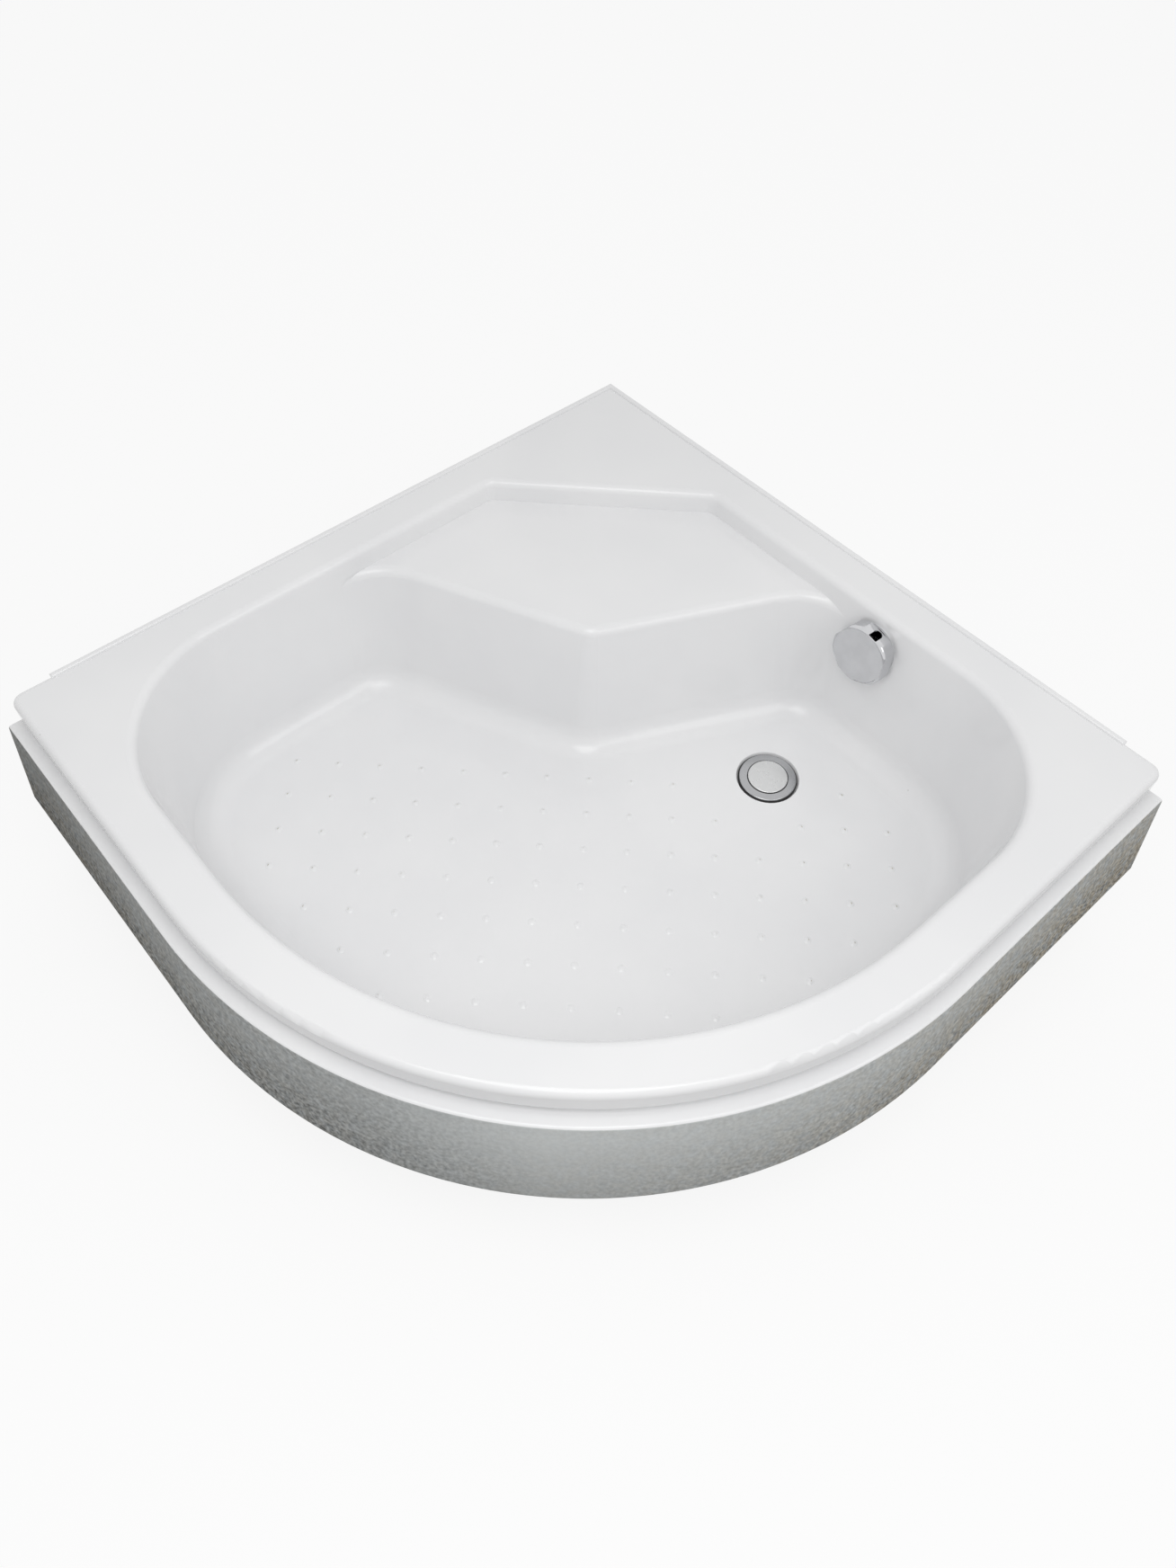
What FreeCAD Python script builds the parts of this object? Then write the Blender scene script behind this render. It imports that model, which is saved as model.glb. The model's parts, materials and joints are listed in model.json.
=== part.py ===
"""Deep quadrant shower tray: acrylic shell with a moulded corner seat, flared apron, support frame with
levelling feet, pop-up drain and overflow knob. Millimetres, ground at z = 0, the corner of the two walls at
-X +Y. In the names below, a is the distance from the +Y wall and b the distance from the -X wall."""
import FreeCAD, Part
import math
import os
import Sketcher
from FreeCAD import Placement, Rotation, Vector

doc = FreeCAD.newDocument("DeepShowerTray")
sheet = doc.addObject("Spreadsheet::Sheet", "Sizes")

SIZES = [
    ("tray_side", 900, "each wall side of the tray"),
    ("front_radius", 550, "quarter arc of the front"),
    ("rim_height", 290, "rim above the ground"),
    ("floor_height", 85, "basin floor above the ground"),
    ("shell_wall", 5, "acrylic thickness"),
    ("rim_width", 55, "flat rim between the edge and the basin"),
    ("lip_depth", 29, "overhanging lip"),
    ("lip_round", 8, "round on top of the lip"),
    ("lip_corner", 14, "front corners of the outline in plan"),
    ("rim_round", 10, "round at the mouth of the basin"),
    ("wall_draft", 6, "draft of the basin walls, degrees"),
    ("floor_round", 35, "round between wall and floor"),
    ("corner_radius", 175, "side corners of the basin at the rim"),
    ("seat_depth", 28, "seat below the rim"),
    ("seat_reach", 459, "wall corner to the tip of the seat front"),
    ("seat_sweep", 19.4, "sweep of the seat front, degrees"),
    ("seat_draft", 12, "draft of the seat front, degrees"),
    ("seat_round", 12, "round on the front edge of the seat"),
    ("seat_corner", 85, "seat front into side wall"),
    ("seat_tip", 25, "tip of the seat front in plan"),
    ("seat_back", 226, "wall corner to the back of the seat"),
    ("seat_back_corner", 18, "back corners of the seat"),
    ("bead_width", 7, "upstand bead along the walls"),
    ("bead_height", 3, "height of the bead"),
    ("bead_round", 2.4, "round on top of the bead"),
    ("bead_stop", 50, "bead end before the front edge"),
    ("bump_radius", 4.8, "anti-slip bump"),
    ("bump_height", 1.2, "height of a bump"),
    ("bump_sink", 0.4, "foot of a bump below the floor"),
    ("bump_pitch", 54.1, "pitch of the bumps across the diagonal"),
    ("bump_rows", 52.9, "pitch of the bumps along the diagonal"),
    ("bump_shift", 8, "middle column of bumps from the diagonal"),
    ("bump_row", 761.7, "a row of bumps on the diagonal"),
    ("drain_a", 204, "drain axis from the +Y wall"),
    ("drain_gap", 59.3, "drain axis from the foot of the seat front, at the side wall"),
    ("dish_radius", 41, "dish round the drain"),
    ("dish_depth", 5, "depth of the dish"),
    ("dish_slope", 2, "dish narrower at its bottom"),
    ("drain_hole", 26, "hole for the drain"),
    ("gasket_upper", 2.5, "gasket over the floor"),
    ("gasket_lower", 3, "gasket under the floor"),
    ("gasket_lip", 1.6, "gaskets outside the flange"),
    ("flange_radius", 37, "drain flange"),
    ("flange_thickness", 3, "drain flange"),
    ("flange_round", 1.5, "round on the flange"),
    ("neck_radius", 25, "neck of the flange"),
    ("neck_wall", 4, "neck of the flange"),
    ("neck_length", 27, "neck of the flange"),
    ("plug_radius", 25.75, "pop-up plug"),
    ("plug_height", 2, "pop-up plug"),
    ("plug_round", 0.9, "round on the plug"),
    ("plug_gap", 1.25, "groove round the plug"),
    ("plug_seat", 2, "recess of the flange for the plug"),
    ("plug_sink", 0.5, "underside of the plug below the flange top"),
    ("seal_width", 3.4, "seal of the plug inside the neck line"),
    ("seal_lip", 0.9, "seal outside the plug"),
    ("seal_gap", 0.3, "seal off its seat"),
    ("stem_radius", 4, "stem of the plug"),
    ("stem_past", 5.5, "stem below the neck"),
    ("pin_radius", 3, "lift pin"),
    ("pin_length", 20, "lift pin"),
    ("hub_wall", 4, "hubs of the guides"),
    ("guide_wall", 2.4, "rings of the guides"),
    ("guide_lift", 2, "step of the guides"),
    ("leg_width", 3, "legs of the guides"),
    ("stem_hub", 12, "hub of the stem guide"),
    ("stem_ring", 8, "ring of the stem guide"),
    ("pin_hub", 16, "hub of the cable guide"),
    ("pin_ring", 6, "ring of the cable guide"),
    ("insert_lift", 16, "trap insert above the foot of the trap"),
    ("insert_wall", 2.5, "trap insert"),
    ("insert_gap", 1, "trap insert under the neck"),
    ("fit_gap", 0.05, "running fit, radial"),
    ("slip_gap", 0.1, "slip fit, radial"),
    ("cut_past", 5, "cutters past the faces that they cut"),
    ("trap_depth", 65, "foot of the trap below its collar"),
    ("bowl_height", 53, "trap bowl"),
    ("bowl_radius", 48, "trap bowl"),
    ("bowl_wall", 3, "trap bowl"),
    ("collar_reach", 3, "collar of the trap outside the flange"),
    ("collar_height", 5, "rim of the collar"),
    ("collar_wall", 4, "collar of the trap"),
    ("collar_length", 13, "collar below the top of the bowl"),
    ("outlet_radius", 20, "outlet pipe"),
    ("spigot_step", 1.5, "outlet pipe thinner inside its socket"),
    ("outlet_lift", 24, "outlet axis above the foot of the trap"),
    ("outlet_turn", 45, "outlet turned from the +Y wall to the -X wall, degrees"),
    ("outlet_reach", 140, "outlet end from the drain axis"),
    ("outlet_wall", 2, "outlet pipe in its socket"),
    ("outlet_sleeve", 4, "socket of the outlet"),
    ("outlet_collar", 10, "union nut past the outlet socket"),
    ("outlet_skirt", 16, "union nut over the outlet socket"),
    ("spigot_length", 28, "outlet pipe in its socket"),
    ("nut_clear", 1, "union nut before the pipe step"),
    ("nut_end", 6, "end wall of a union nut"),
    ("nut_gap", 0.3, "union nut round its pipe"),
    ("union_wall", 4, "skirt of a union nut"),
    ("socket_start", 30, "sockets inside the bowl, from its axis"),
    ("socket_reach", 80, "sockets from the drain axis"),
    ("overflow_lift", 34, "overflow socket above the foot of the trap"),
    ("pipe_radius", 11, "overflow pipe"),
    ("pipe_wall", 1.5, "overflow pipe"),
    ("pipe_bend", 50, "bend of the overflow pipe"),
    ("pipe_sleeve", 3, "sockets of the overflow pipe"),
    ("pipe_depth", 25, "overflow pipe in the trap socket"),
    ("pipe_collar", 6.5, "union nut past its socket"),
    ("pipe_skirt", 12, "union nut over its socket"),
    ("pipe_back", 27.3, "overflow pipe behind the basin wall"),
    ("pipe_top", 40, "overflow pipe starts below the overflow axis"),
    ("cable_radius", 3.5, "cable sheath"),
    ("cable_lift", 7, "cable above the foot of the trap"),
    ("cable_bend", 50, "bend of the cable sheath"),
    ("cable_turn", 8, "bend of the sheath under its guide"),
    ("cable_top", 30, "sheath starts below the overflow axis"),
    ("gland_wall", 3, "cable gland"),
    ("gland_length", 8, "cable gland outside the bowl"),
    ("nipple_side", 27, "cable nipple beside the axis"),
    ("nipple_start", 13, "cable nipple below the axis"),
    ("nipple_length", 25, "cable nipple"),
    ("nipple_wall", 1.5, "cable nipple"),
    ("knob_gap", 96.7, "overflow axis from the end of the seat front"),
    ("knob_drop", 54, "overflow axis below the rim"),
    ("knob_radius", 40, "overflow knob"),
    ("knob_reach", 25, "front of the knob from the wall"),
    ("knob_wall", 5.5, "knob skirt"),
    ("knob_round", 4.5, "round on the front of the knob"),
    ("knob_clear", 5, "knob skirt off the wall"),
    ("knob_boss", 10, "boss of the knob off the wall"),
    ("boss_wall", 4, "boss of the knob"),
    ("cap_wall", 3, "front wall of the knob"),
    ("facet_depth", 3.7, "flat finger facet on the knob"),
    ("facet_turn", 76, "first facet, degrees"),
    ("facet_count", 5, "finger facets on the knob"),
    ("inlet_width", 12, "overflow inlet in the first facet"),
    ("inlet_clear", 6.3, "inlet off the wall"),
    ("inlet_run", 11.1, "straight part of the inlet"),
    ("inlet_depth", 12, "inlet into the knob"),
    ("overflow_hole", 26, "hole for the overflow"),
    ("hole_gap", 1, "front ring in its hole"),
    ("ring_wall", 4, "tube of the front ring"),
    ("ring_length", 14, "tube of the front ring"),
    ("ring_inset", 4.5, "front ring inside the knob"),
    ("ring_height", 3, "front ring"),
    ("spindle_radius", 5, "knob spindle"),
    ("spindle_gap", 1, "spindle inside its ends"),
    ("drum_radius", 12, "cable drum on the spindle"),
    ("drum_height", 6, "cable drum"),
    ("drum_gap", 2, "cable drum off its bush"),
    ("housing_radius", 33, "overflow housing"),
    ("housing_wall", 3, "overflow housing"),
    ("housing_depth", 35, "overflow housing"),
    ("housing_flange", 5, "flange of the housing"),
    ("flange_back", 4, "flange of the housing"),
    ("wall_gasket", 3, "gasket behind the wall"),
    ("gasket_reach", 4, "wall gasket outside the housing"),
    ("bush_wall", 4, "bush of the spindle"),
    ("bush_length", 11, "bush of the spindle"),
    ("sleeve_start", 28, "pipe sleeve below the axis"),
    ("sleeve_length", 34, "pipe sleeve"),
    ("board_thickness", 16, "base board"),
    ("board_margin", 45, "board edge inside the floor line"),
    ("board_hole", 15, "hole in the board outside the dish"),
    ("rail_size", 25, "square tube of the frame"),
    ("rail_wall", 1.5, "square tube of the frame"),
    ("rail_back", 185, "diagonal rail from the wall corner"),
    ("rail_margin", 45, "diagonal rail before the front arc"),
    ("cross_v", 700, "cross rail on the diagonal"),
    ("cross_margin", 246.4, "cross rail before the side corner of the outline"),
    ("inner_screw", 140, "inner screw of a cross rail from the diagonal"),
    ("outer_screw", 70, "outer screw before the end of a cross rail"),
    ("seat_screw", 101, "screw of the diagonal rail past the tip of the seat"),
    ("front_screw", 120, "screw of the diagonal rail before its front end"),
    ("foot_inset", 25, "foot from the end of its rail"),
    ("stud_radius", 6, "levelling stud"),
    ("stud_gap", 0.5, "stud hole in a rail"),
    ("stud_clear", 4, "stud end under the top of its rail"),
    ("stud_chamfer", 1, "stud end"),
    ("nut_wall", 5, "nuts at their corners"),
    ("nut_height", 10, "nut under the rail"),
    ("lock_height", 6, "lock nut"),
    ("pad_radius", 22, "foot pad"),
    ("pad_edge", 5, "foot pad at its edge"),
    ("pad_slope", 8, "foot pad at its boss"),
    ("pad_height", 14, "boss of a foot pad"),
    ("pad_boss", 4, "boss of a foot pad"),
    ("boss_taper", 1, "boss of a foot pad at its foot"),
    ("pad_sole", 4, "foot pad under its stud"),
    ("screw_radius", 2.5, "screws of the frame"),
    ("head_radius", 5, "screw heads"),
    ("head_height", 2.5, "screw heads"),
    ("screw_bite", 12, "screws past the piece under their heads"),
    ("post_v", 320, "seat post on the diagonal"),
    ("pad_thickness", 12, "wooden pad on the seat post"),
    ("pad_length", 60, "wooden pad"),
    ("pad_width", 110, "wooden pad"),
    ("apron_wall", 4, "apron thickness"),
    ("apron_gap", 1.5, "apron upstand behind the lip"),
    ("apron_rise", 12, "top of the apron upstand below the rim"),
    ("ledge_drop", 40, "apron ledge below the rim"),
    ("ledge_reach", 15, "apron ledge outside the outline"),
    ("apron_reach", 33, "widest line of the apron outside the outline"),
    ("apron_knee", 165, "widest line of the apron below the rim"),
    ("knee_radius", 561, "front arc of the apron at its widest line"),
    ("knee_round", 3, "round on the widest line"),
    ("ledge_round", 3.5, "round on the ledge"),
    ("kick_reach", 5, "toe-kick outside the outline"),
    ("kick_gap", 4, "toe-kick above the ground"),
    ("strip_width", 30, "apron bracket"),
    ("strip_thickness", 3, "apron bracket"),
    ("strip_length", 151, "apron bracket"),
    ("strip_screw", 13, "bracket screws from the end of the strip"),
    ("screw_spread", 9, "bracket screws from the middle of the strip"),
    ("tab_drop", 28, "bracket tab below the board"),
    ("tab_screw", 16, "apron screw below the board"),
    ("bracket_inset", 50, "side brackets beside the arc"),
]
for row, (alias, value, note) in enumerate(SIZES, 1):
    sheet.set(f"A{row}", note)
    sheet.set(f"B{row}", str(value))
    sheet.setAlias(f"B{row}", alias)
doc.recompute()


def number(expression):
    """Value of an expression over the sizes."""
    result = sheet.evalExpression(expression)
    return float(getattr(result, "Value", result))


S = {alias: number(f"Sizes.{alias}") for alias, _, _ in SIZES}

CORNER_X = "(-(Sizes.tray_side + Sizes.apron_reach) / 2)"
CORNER_Y = "((Sizes.tray_side + Sizes.apron_reach) / 2)"
FLOOR_Z = "Sizes.floor_height"
DISH_Z = f"({FLOOR_Z} - Sizes.dish_depth)"
FLANGE_Z = f"({DISH_Z} + Sizes.gasket_upper)"
FLANGE_TOP = f"({FLANGE_Z} + Sizes.flange_thickness)"
NECK_END = f"({FLANGE_Z} - Sizes.neck_length)"
DISH_UNDER = f"({DISH_Z} - Sizes.shell_wall)"
COLLAR_TOP = f"({DISH_UNDER} - Sizes.gasket_lower)"
PLUG_Z = f"({FLANGE_TOP} - Sizes.plug_sink)"
STEM_END = f"({NECK_END} - Sizes.stem_past)"
BOARD_TOP = f"({FLOOR_Z} - Sizes.shell_wall)"
RAIL_TOP = f"({BOARD_TOP} - Sizes.board_thickness)"
RAIL_Z = f"({RAIL_TOP} - Sizes.rail_size)"
SEAT_UNDER = "(Sizes.rim_height - Sizes.seat_depth - Sizes.shell_wall)"
ARC_A = "(Sizes.tray_side - Sizes.front_radius)"
FRONT_V = f"({ARC_A} * sqrt(2) + Sizes.front_radius)"


def seat_end(depth):
    """Distance b at which the seat front meets the side wall, at a depth below the rim."""
    low = f"(Sizes.rim_width + {depth} * tan(Sizes.wall_draft))"
    tip = f"(Sizes.seat_reach + ({depth} - Sizes.seat_depth) * tan(Sizes.seat_draft))"
    sweep = "tan(Sizes.seat_sweep)"
    return f"(({tip} * sqrt(2) - {low} * (1 - {sweep})) / (1 + {sweep}))"


SEAT_END = seat_end("Sizes.seat_depth")
SEAT_FOOT = seat_end("(Sizes.rim_height - Sizes.floor_height)")
KNOB_B = f"({SEAT_END} + Sizes.knob_gap)"
TRAP_Z = f"({COLLAR_TOP} - Sizes.trap_depth)"
BOWL_TOP = f"({TRAP_Z} + Sizes.bowl_height)"
OUTLET_Z = f"({TRAP_Z} + Sizes.outlet_lift)"
OVERFLOW_Z = f"({TRAP_Z} + Sizes.overflow_lift)"
CABLE_Z = f"({TRAP_Z} + Sizes.cable_lift)"
LEDGE_Z = "(Sizes.rim_height - Sizes.ledge_drop)"
KNEE_Z = "(Sizes.rim_height - Sizes.apron_knee)"

pieces = []


def at(a, b):
    """X and Y expressions of a place given by its distances from the two walls."""
    return f"{CORNER_X} + ({b})", f"{CORNER_Y} - ({a})"


def on_diagonal(u, v):
    """X and Y expressions of a place v along the diagonal from the wall corner and u across it."""
    return at(f"(({v}) - ({u})) / sqrt(2)", f"(({v}) + ({u})) / sqrt(2)")


DRAIN = at("Sizes.drain_a", f"{SEAT_FOOT} + Sizes.drain_gap")


def place(obj, where=("0", "0"), z="0", axis=(0, 0, 1), angle=0.0):
    obj.Placement = Placement(Vector(), Rotation(Vector(*axis), angle))
    obj.setExpression("Placement.Base.x", where[0])
    obj.setExpression("Placement.Base.y", where[1])
    obj.setExpression("Placement.Base.z", z)
    return obj


def lying(obj, angle, where, z):
    """Lay an object made along Z down, pointing at the +Y wall and turned clockwise by an angle."""
    turn = Rotation(Vector(0, 0, 1), -angle).multiply(Rotation(Vector(1, 0, 0), -90))
    obj.Placement = Placement(Vector(0, 0, 0), turn)
    obj.setExpression("Placement.Base.x", where[0])
    obj.setExpression("Placement.Base.y", where[1])
    obj.setExpression("Placement.Base.z", z)
    return obj


def keep(obj, label):
    obj.Label = label
    pieces.append(obj)
    return obj


def closed_sketch(body, plane, points, name):
    """Closed polygon on an origin plane of the body; every corner is bound to its two expressions."""
    sketch = body.newObject("Sketcher::SketchObject", name)
    support = next(f for f in body.Origin.OriginFeatures if f.Role == plane)
    sketch.AttachmentSupport = (support, [""])
    sketch.MapMode = "FlatFace"
    spots = [Vector(number(x), number(y), 0) for x, y in points]
    count = len(spots)
    for i in range(count):
        sketch.addGeometry(Part.LineSegment(spots[i], spots[(i + 1) % count]), False)
    for i in range(count):
        sketch.addConstraint(Sketcher.Constraint("Coincident", i, 2, (i + 1) % count, 1))
    for i, (x, y) in enumerate(points):
        for kind, expression, now in (("DistanceX", x, spots[i].x), ("DistanceY", y, spots[i].y)):
            index = sketch.addConstraint(Sketcher.Constraint(kind, -1, 1, i, 1, now))
            sketch.setExpression(f"Constraints[{index}]", expression)
    return sketch


def turned(name, points):
    """Body turned about its Z axis from (radius, height) corners."""
    body = doc.addObject("PartDesign::Body", name)
    sketch = closed_sketch(body, "XZ_Plane", points, name + "_profile")
    turn = body.newObject("PartDesign::Revolution", name + "_turn")
    turn.Profile = sketch
    turn.ReferenceAxis = (sketch, ["V_Axis"])
    turn.Angle = 360
    body.Tip = turn
    return body


def ring(name, inner, outer, low, high):
    return turned(name, [(inner, low), (outer, low), (outer, high), (inner, high)])


def padded(name, plane, points, length, both_sides=False):
    body = doc.addObject("PartDesign::Body", name)
    sketch = closed_sketch(body, plane, points, name + "_profile")
    pad = body.newObject("PartDesign::Pad", name + "_pad")
    pad.Profile = sketch
    pad.Midplane = both_sides
    pad.setExpression("Length", length)
    body.Tip = pad
    return body


def rounded(body, name, radius, chosen):
    """Round the edges of the body's last feature for which chosen(edge) holds."""
    doc.recompute()
    last = body.Tip
    names = [f"Edge{i}" for i, edge in enumerate(last.Shape.Edges, 1) if chosen(edge)]
    fillet = body.newObject("PartDesign::Fillet", name)
    fillet.Base = (last, names)
    fillet.setExpression("Radius", radius)
    body.Tip = fillet
    return body


def circle_at(radius, height):
    """Chooser of the full circles of one radius and height."""
    def chosen(edge):
        box = edge.BoundBox
        return (abs(box.ZMax - height) < 0.01 and abs(box.ZMin - height) < 0.01
                and abs(box.XMax - radius) < 0.01)
    return chosen


def cylinder(name, radius, height, where=("0", "0"), z="0", axis=(0, 0, 1), angle=0.0):
    obj = doc.addObject("Part::Cylinder", name)
    obj.setExpression("Radius", radius)
    obj.setExpression("Height", height)
    return place(obj, where, z, axis, angle)


def box(name, length, width, height, corner):
    obj = doc.addObject("Part::Box", name)
    obj.setExpression("Length", length)
    obj.setExpression("Width", width)
    obj.setExpression("Height", height)
    return place(obj, corner[:2], corner[2])


def cut(name, base, tools):
    tool = tools[0] if len(tools) == 1 else fuse(name + "_tools", tools)
    obj = doc.addObject("Part::Cut", name)
    obj.Base = base
    obj.Tool = tool
    return obj


def fuse(name, shapes):
    obj = doc.addObject("Part::MultiFuse", name)
    obj.Shapes = shapes
    return obj


def group(name, shapes):
    obj = doc.addObject("Part::Compound", name)
    obj.Links = shapes
    return obj


def solid(name, shape):
    obj = doc.addObject("Part::Feature", name)
    obj.Shape = shape
    return obj


# Acrylic shell: lofted basin and seat, with a lip round the outline.
X0 = number(CORNER_X)
Y0 = number(CORNER_Y)
RIM = S["rim_height"]
FLOOR = number(FLOOR_Z)
DEPTH = RIM - FLOOR
WALL = S["shell_wall"]
DRAFT = math.tan(math.radians(S["wall_draft"]))
DRAFT_COS = math.cos(math.radians(S["wall_draft"]))
SEAT_DRAFT = math.tan(math.radians(S["seat_draft"]))
SWEEP = math.tan(math.radians(S["seat_sweep"]))
SWEEP_COS = math.cos(math.radians(S["seat_sweep"]))
ROOT2 = math.sqrt(2)
RECESS_PAST = 100.0
TOOL_TOP = -8.0
BUMP_ROWS = range(-4, 3)
BUMP_COLUMNS = range(-8, 9)


def spot(a, b, z):
    return Vector(X0 + b, Y0 - a, z)


def plan_wire(corners, radii, z):
    """Closed wire through plan corners (a, b), each rounded by its radius."""
    spots = [spot(a, b, z) for a, b in corners]
    count = len(spots)
    trims = []
    for i in range(count):
        here = spots[i]
        to_last = (spots[i - 1] - here).normalize()
        to_next = (spots[(i + 1) % count] - here).normalize()
        half = to_last.getAngle(to_next) / 2
        if radii[i] <= 0:
            trims.append((here, None, here))
            continue
        bisector = (to_last + to_next).normalize()
        middle = here + bisector * (radii[i] / math.sin(half) - radii[i])
        setback = radii[i] / math.tan(half)
        trims.append((here + to_last * setback, middle, here + to_next * setback))
    edges = []
    for i in range(count):
        start, middle, end = trims[i]
        if middle is not None:
            edges.append(Part.Arc(start, middle, end).toShape())
        following = trims[(i + 1) % count][0]
        if (following - end).Length > 1e-6:
            edges.append(Part.LineSegment(end, following).toShape())
    return Part.Wire(edges)


def basin_plan(depth, grow):
    """Corners and radii of the basin at a depth below the rim, grown outwards."""
    inset = depth * DRAFT - grow / DRAFT_COS
    low = S["rim_width"] + inset
    high = S["tray_side"] - low
    tip = S["seat_reach"] + (depth - S["seat_depth"]) * SEAT_DRAFT - grow / SWEEP_COS
    end = (tip * ROOT2 - low * (1 - SWEEP)) / (1 + SWEEP)
    corners = [(tip / ROOT2, tip / ROOT2), (end, low), (high, low), (high, high), (low, high), (low, end)]
    side = S["corner_radius"] - inset
    seat = S["seat_corner"] - inset
    front = S["front_radius"] - low
    return corners, [S["seat_tip"] + inset, seat, side, front, side, seat]


def seat_plan(depth, grow):
    """Corners and radii of the recess over the seat; its front lies inside the basin."""
    inset = depth * DRAFT - grow / DRAFT_COS
    low = S["rim_width"] + inset
    back = ROOT2 * (S["seat_back"] + inset) - low
    front, _ = basin_plan(S["seat_depth"], 0)
    tip = front[0][0] + RECESS_PAST
    end = front[1][0] + RECESS_PAST
    side = low + RECESS_PAST
    corners = [(back, low), (end, low), (end, side), (tip, tip), (side, end), (low, end), (low, back)]
    corner = S["seat_back_corner"] - inset
    return corners, [corner, 0, 0, 0, 0, 0, corner]


def lofted(plan, upper, lower, grow):
    wires = [plan_wire(*plan(depth, grow), RIM - depth) for depth in (upper, lower)]
    return Part.makeLoft(wires, True, True)


def level_edges(shape, z):
    return [e for e in shape.Edges if abs(e.BoundBox.ZMin - z) < 1e-3 and abs(e.BoundBox.ZMax - z) < 1e-3]


def basin_tool(top, grow):
    """Solid of the basin with its seat, from a depth 'top' down, grown outwards."""
    depth = DEPTH + grow
    basin = lofted(basin_plan, top, depth, grow)
    basin = basin.makeFillet(S["floor_round"] + grow, level_edges(basin, RIM - depth))
    seat_level = S["seat_depth"] + grow
    seat = lofted(seat_plan, top, seat_level, grow)
    return basin.fuse(seat).removeSplitter().Solids[0]


def outline_wire(inset, z):
    low = inset
    high = S["tray_side"] - inset
    corner = S["lip_corner"] - inset
    return plan_wire([(low, low), (high, low), (high, high), (low, high)],
                     [0, corner, S["front_radius"] - inset, corner], z)


def floor_bumps():
    """Raised anti-slip bumps on a grid along the diagonal, clear of the drain and the floor's edge."""
    radius = S["bump_radius"]
    height = S["bump_height"]
    ball = (radius ** 2 + height ** 2) / (2 * height)
    sphere = Part.makeSphere(ball, Vector(0, 0, height - ball))
    slab = Part.makeBox(4 * radius, 4 * radius, 2 * height,
                        Vector(-2 * radius, -2 * radius, -S["bump_sink"]))
    cap = sphere.common(slab)
    room = basin_plan(DEPTH, 0)
    inset = Part.Face(plan_wire(*room, 0)).makeOffset2D(-(S["floor_round"] + 2 * radius))
    inside = Part.Face(inset.Wires[0]) if inset.ShapeType != "Face" else inset
    bumps = []
    for row in BUMP_ROWS:
        for column in BUMP_COLUMNS:
            u = S["bump_shift"] + column * S["bump_pitch"]
            v = S["bump_row"] + row * S["bump_rows"]
            a = (v - u) / ROOT2
            b = (v + u) / ROOT2
            to_drain = (spot(a, b, 0) - Vector(drain_x, drain_y, 0)).Length
            if to_drain > 2 * S["dish_radius"] and inside.isInside(spot(a, b, 0), 0.01, True):
                bump = cap.copy()
                bump.translate(spot(a, b, FLOOR))
                bumps.append(bump)
    return bumps


def wall_beads():
    """Upstand bead along both wall edges, with its upper edges rounded."""
    length = S["tray_side"] - S["bead_stop"]
    width = S["bead_width"]
    corners = [(0, 0), (length, 0), (length, width), (width, width), (width, length), (0, length)]
    low = RIM - WALL / 2
    bead = Part.Face(plan_wire(corners, [0, 0, 0, 0, 0, 0], low))
    bead = bead.extrude(Vector(0, 0, S["bead_height"] + WALL / 2))
    return bead.makeFillet(S["bead_round"], level_edges(bead, RIM + S["bead_height"]))


drain_x = number(DRAIN[0])
drain_y = number(DRAIN[1])
knob_a = S["rim_width"] + S["knob_drop"] * DRAFT
knob_x = X0 + number(KNOB_B)
knob_origin = Vector(knob_x, Y0 - knob_a, RIM - S["knob_drop"])
knob_turn = Rotation(Vector(1, 0, 0), 90 - S["wall_draft"])
knob_axis = knob_turn.multVec(Vector(0, 0, 1))
knob_up = knob_turn.multVec(Vector(0, 1, 0))

LIP_END = RIM - S["lip_depth"]
FRONT_X = X0 + S["tray_side"]
FRONT_Y = Y0 - S["tray_side"]
ON_RIM = S["rim_width"] / 2
lid = Part.Face(outline_wire(0, LIP_END)).extrude(Vector(0, 0, S["lip_depth"]))
lid = lid.cut(Part.Face(outline_wire(WALL, LIP_END)).extrude(Vector(0, 0, S["lip_depth"] - WALL)))
dish_foot = Vector(drain_x, drain_y, FLOOR - S["dish_depth"])
dish = Part.makeCone(S["dish_radius"] - S["dish_slope"], S["dish_radius"], S["dish_depth"], dish_foot)
dish_boss = Part.makeCone(S["dish_radius"] - S["dish_slope"] + WALL, S["dish_radius"] + WALL,
                          S["dish_depth"] + WALL / 2, dish_foot - Vector(0, 0, WALL))
drain_hole = Part.makeCylinder(S["drain_hole"], S["dish_depth"] + 4 * WALL,
                               dish_foot - Vector(0, 0, 2 * WALL))
overflow_hole = Part.makeCylinder(S["overflow_hole"], 4 * WALL, knob_origin - knob_axis * 2 * WALL,
                                  knob_axis)
shell = lid.fuse(basin_tool(WALL / 2, WALL)).cut(basin_tool(TOOL_TOP, 0.0)).removeSplitter().Solids[0]
mouth = [e for e in level_edges(shell, RIM)
         if e.BoundBox.XMin > X0 + ON_RIM and e.BoundBox.XMax < FRONT_X - ON_RIM
         and e.BoundBox.YMax < Y0 - ON_RIM]
shell = shell.makeFillet(S["rim_round"], mouth)
front_edge = [e for e in level_edges(shell, RIM)
              if e.BoundBox.YMax < FRONT_Y + 0.01 or e.BoundBox.XMin > FRONT_X - 0.01]
shell = shell.makeFillet(S["lip_round"], front_edge)
seat_front = [e for e in level_edges(shell, RIM - S["seat_depth"])
              if e.Curve.TypeId == "Part::GeomBSplineCurve"]
shell = shell.makeFillet(S["seat_round"], seat_front)
shell = shell.fuse([dish_boss, wall_beads()]).cut([dish, drain_hole, overflow_hole])
shell = shell.fuse(floor_bumps()).removeSplitter()
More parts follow.
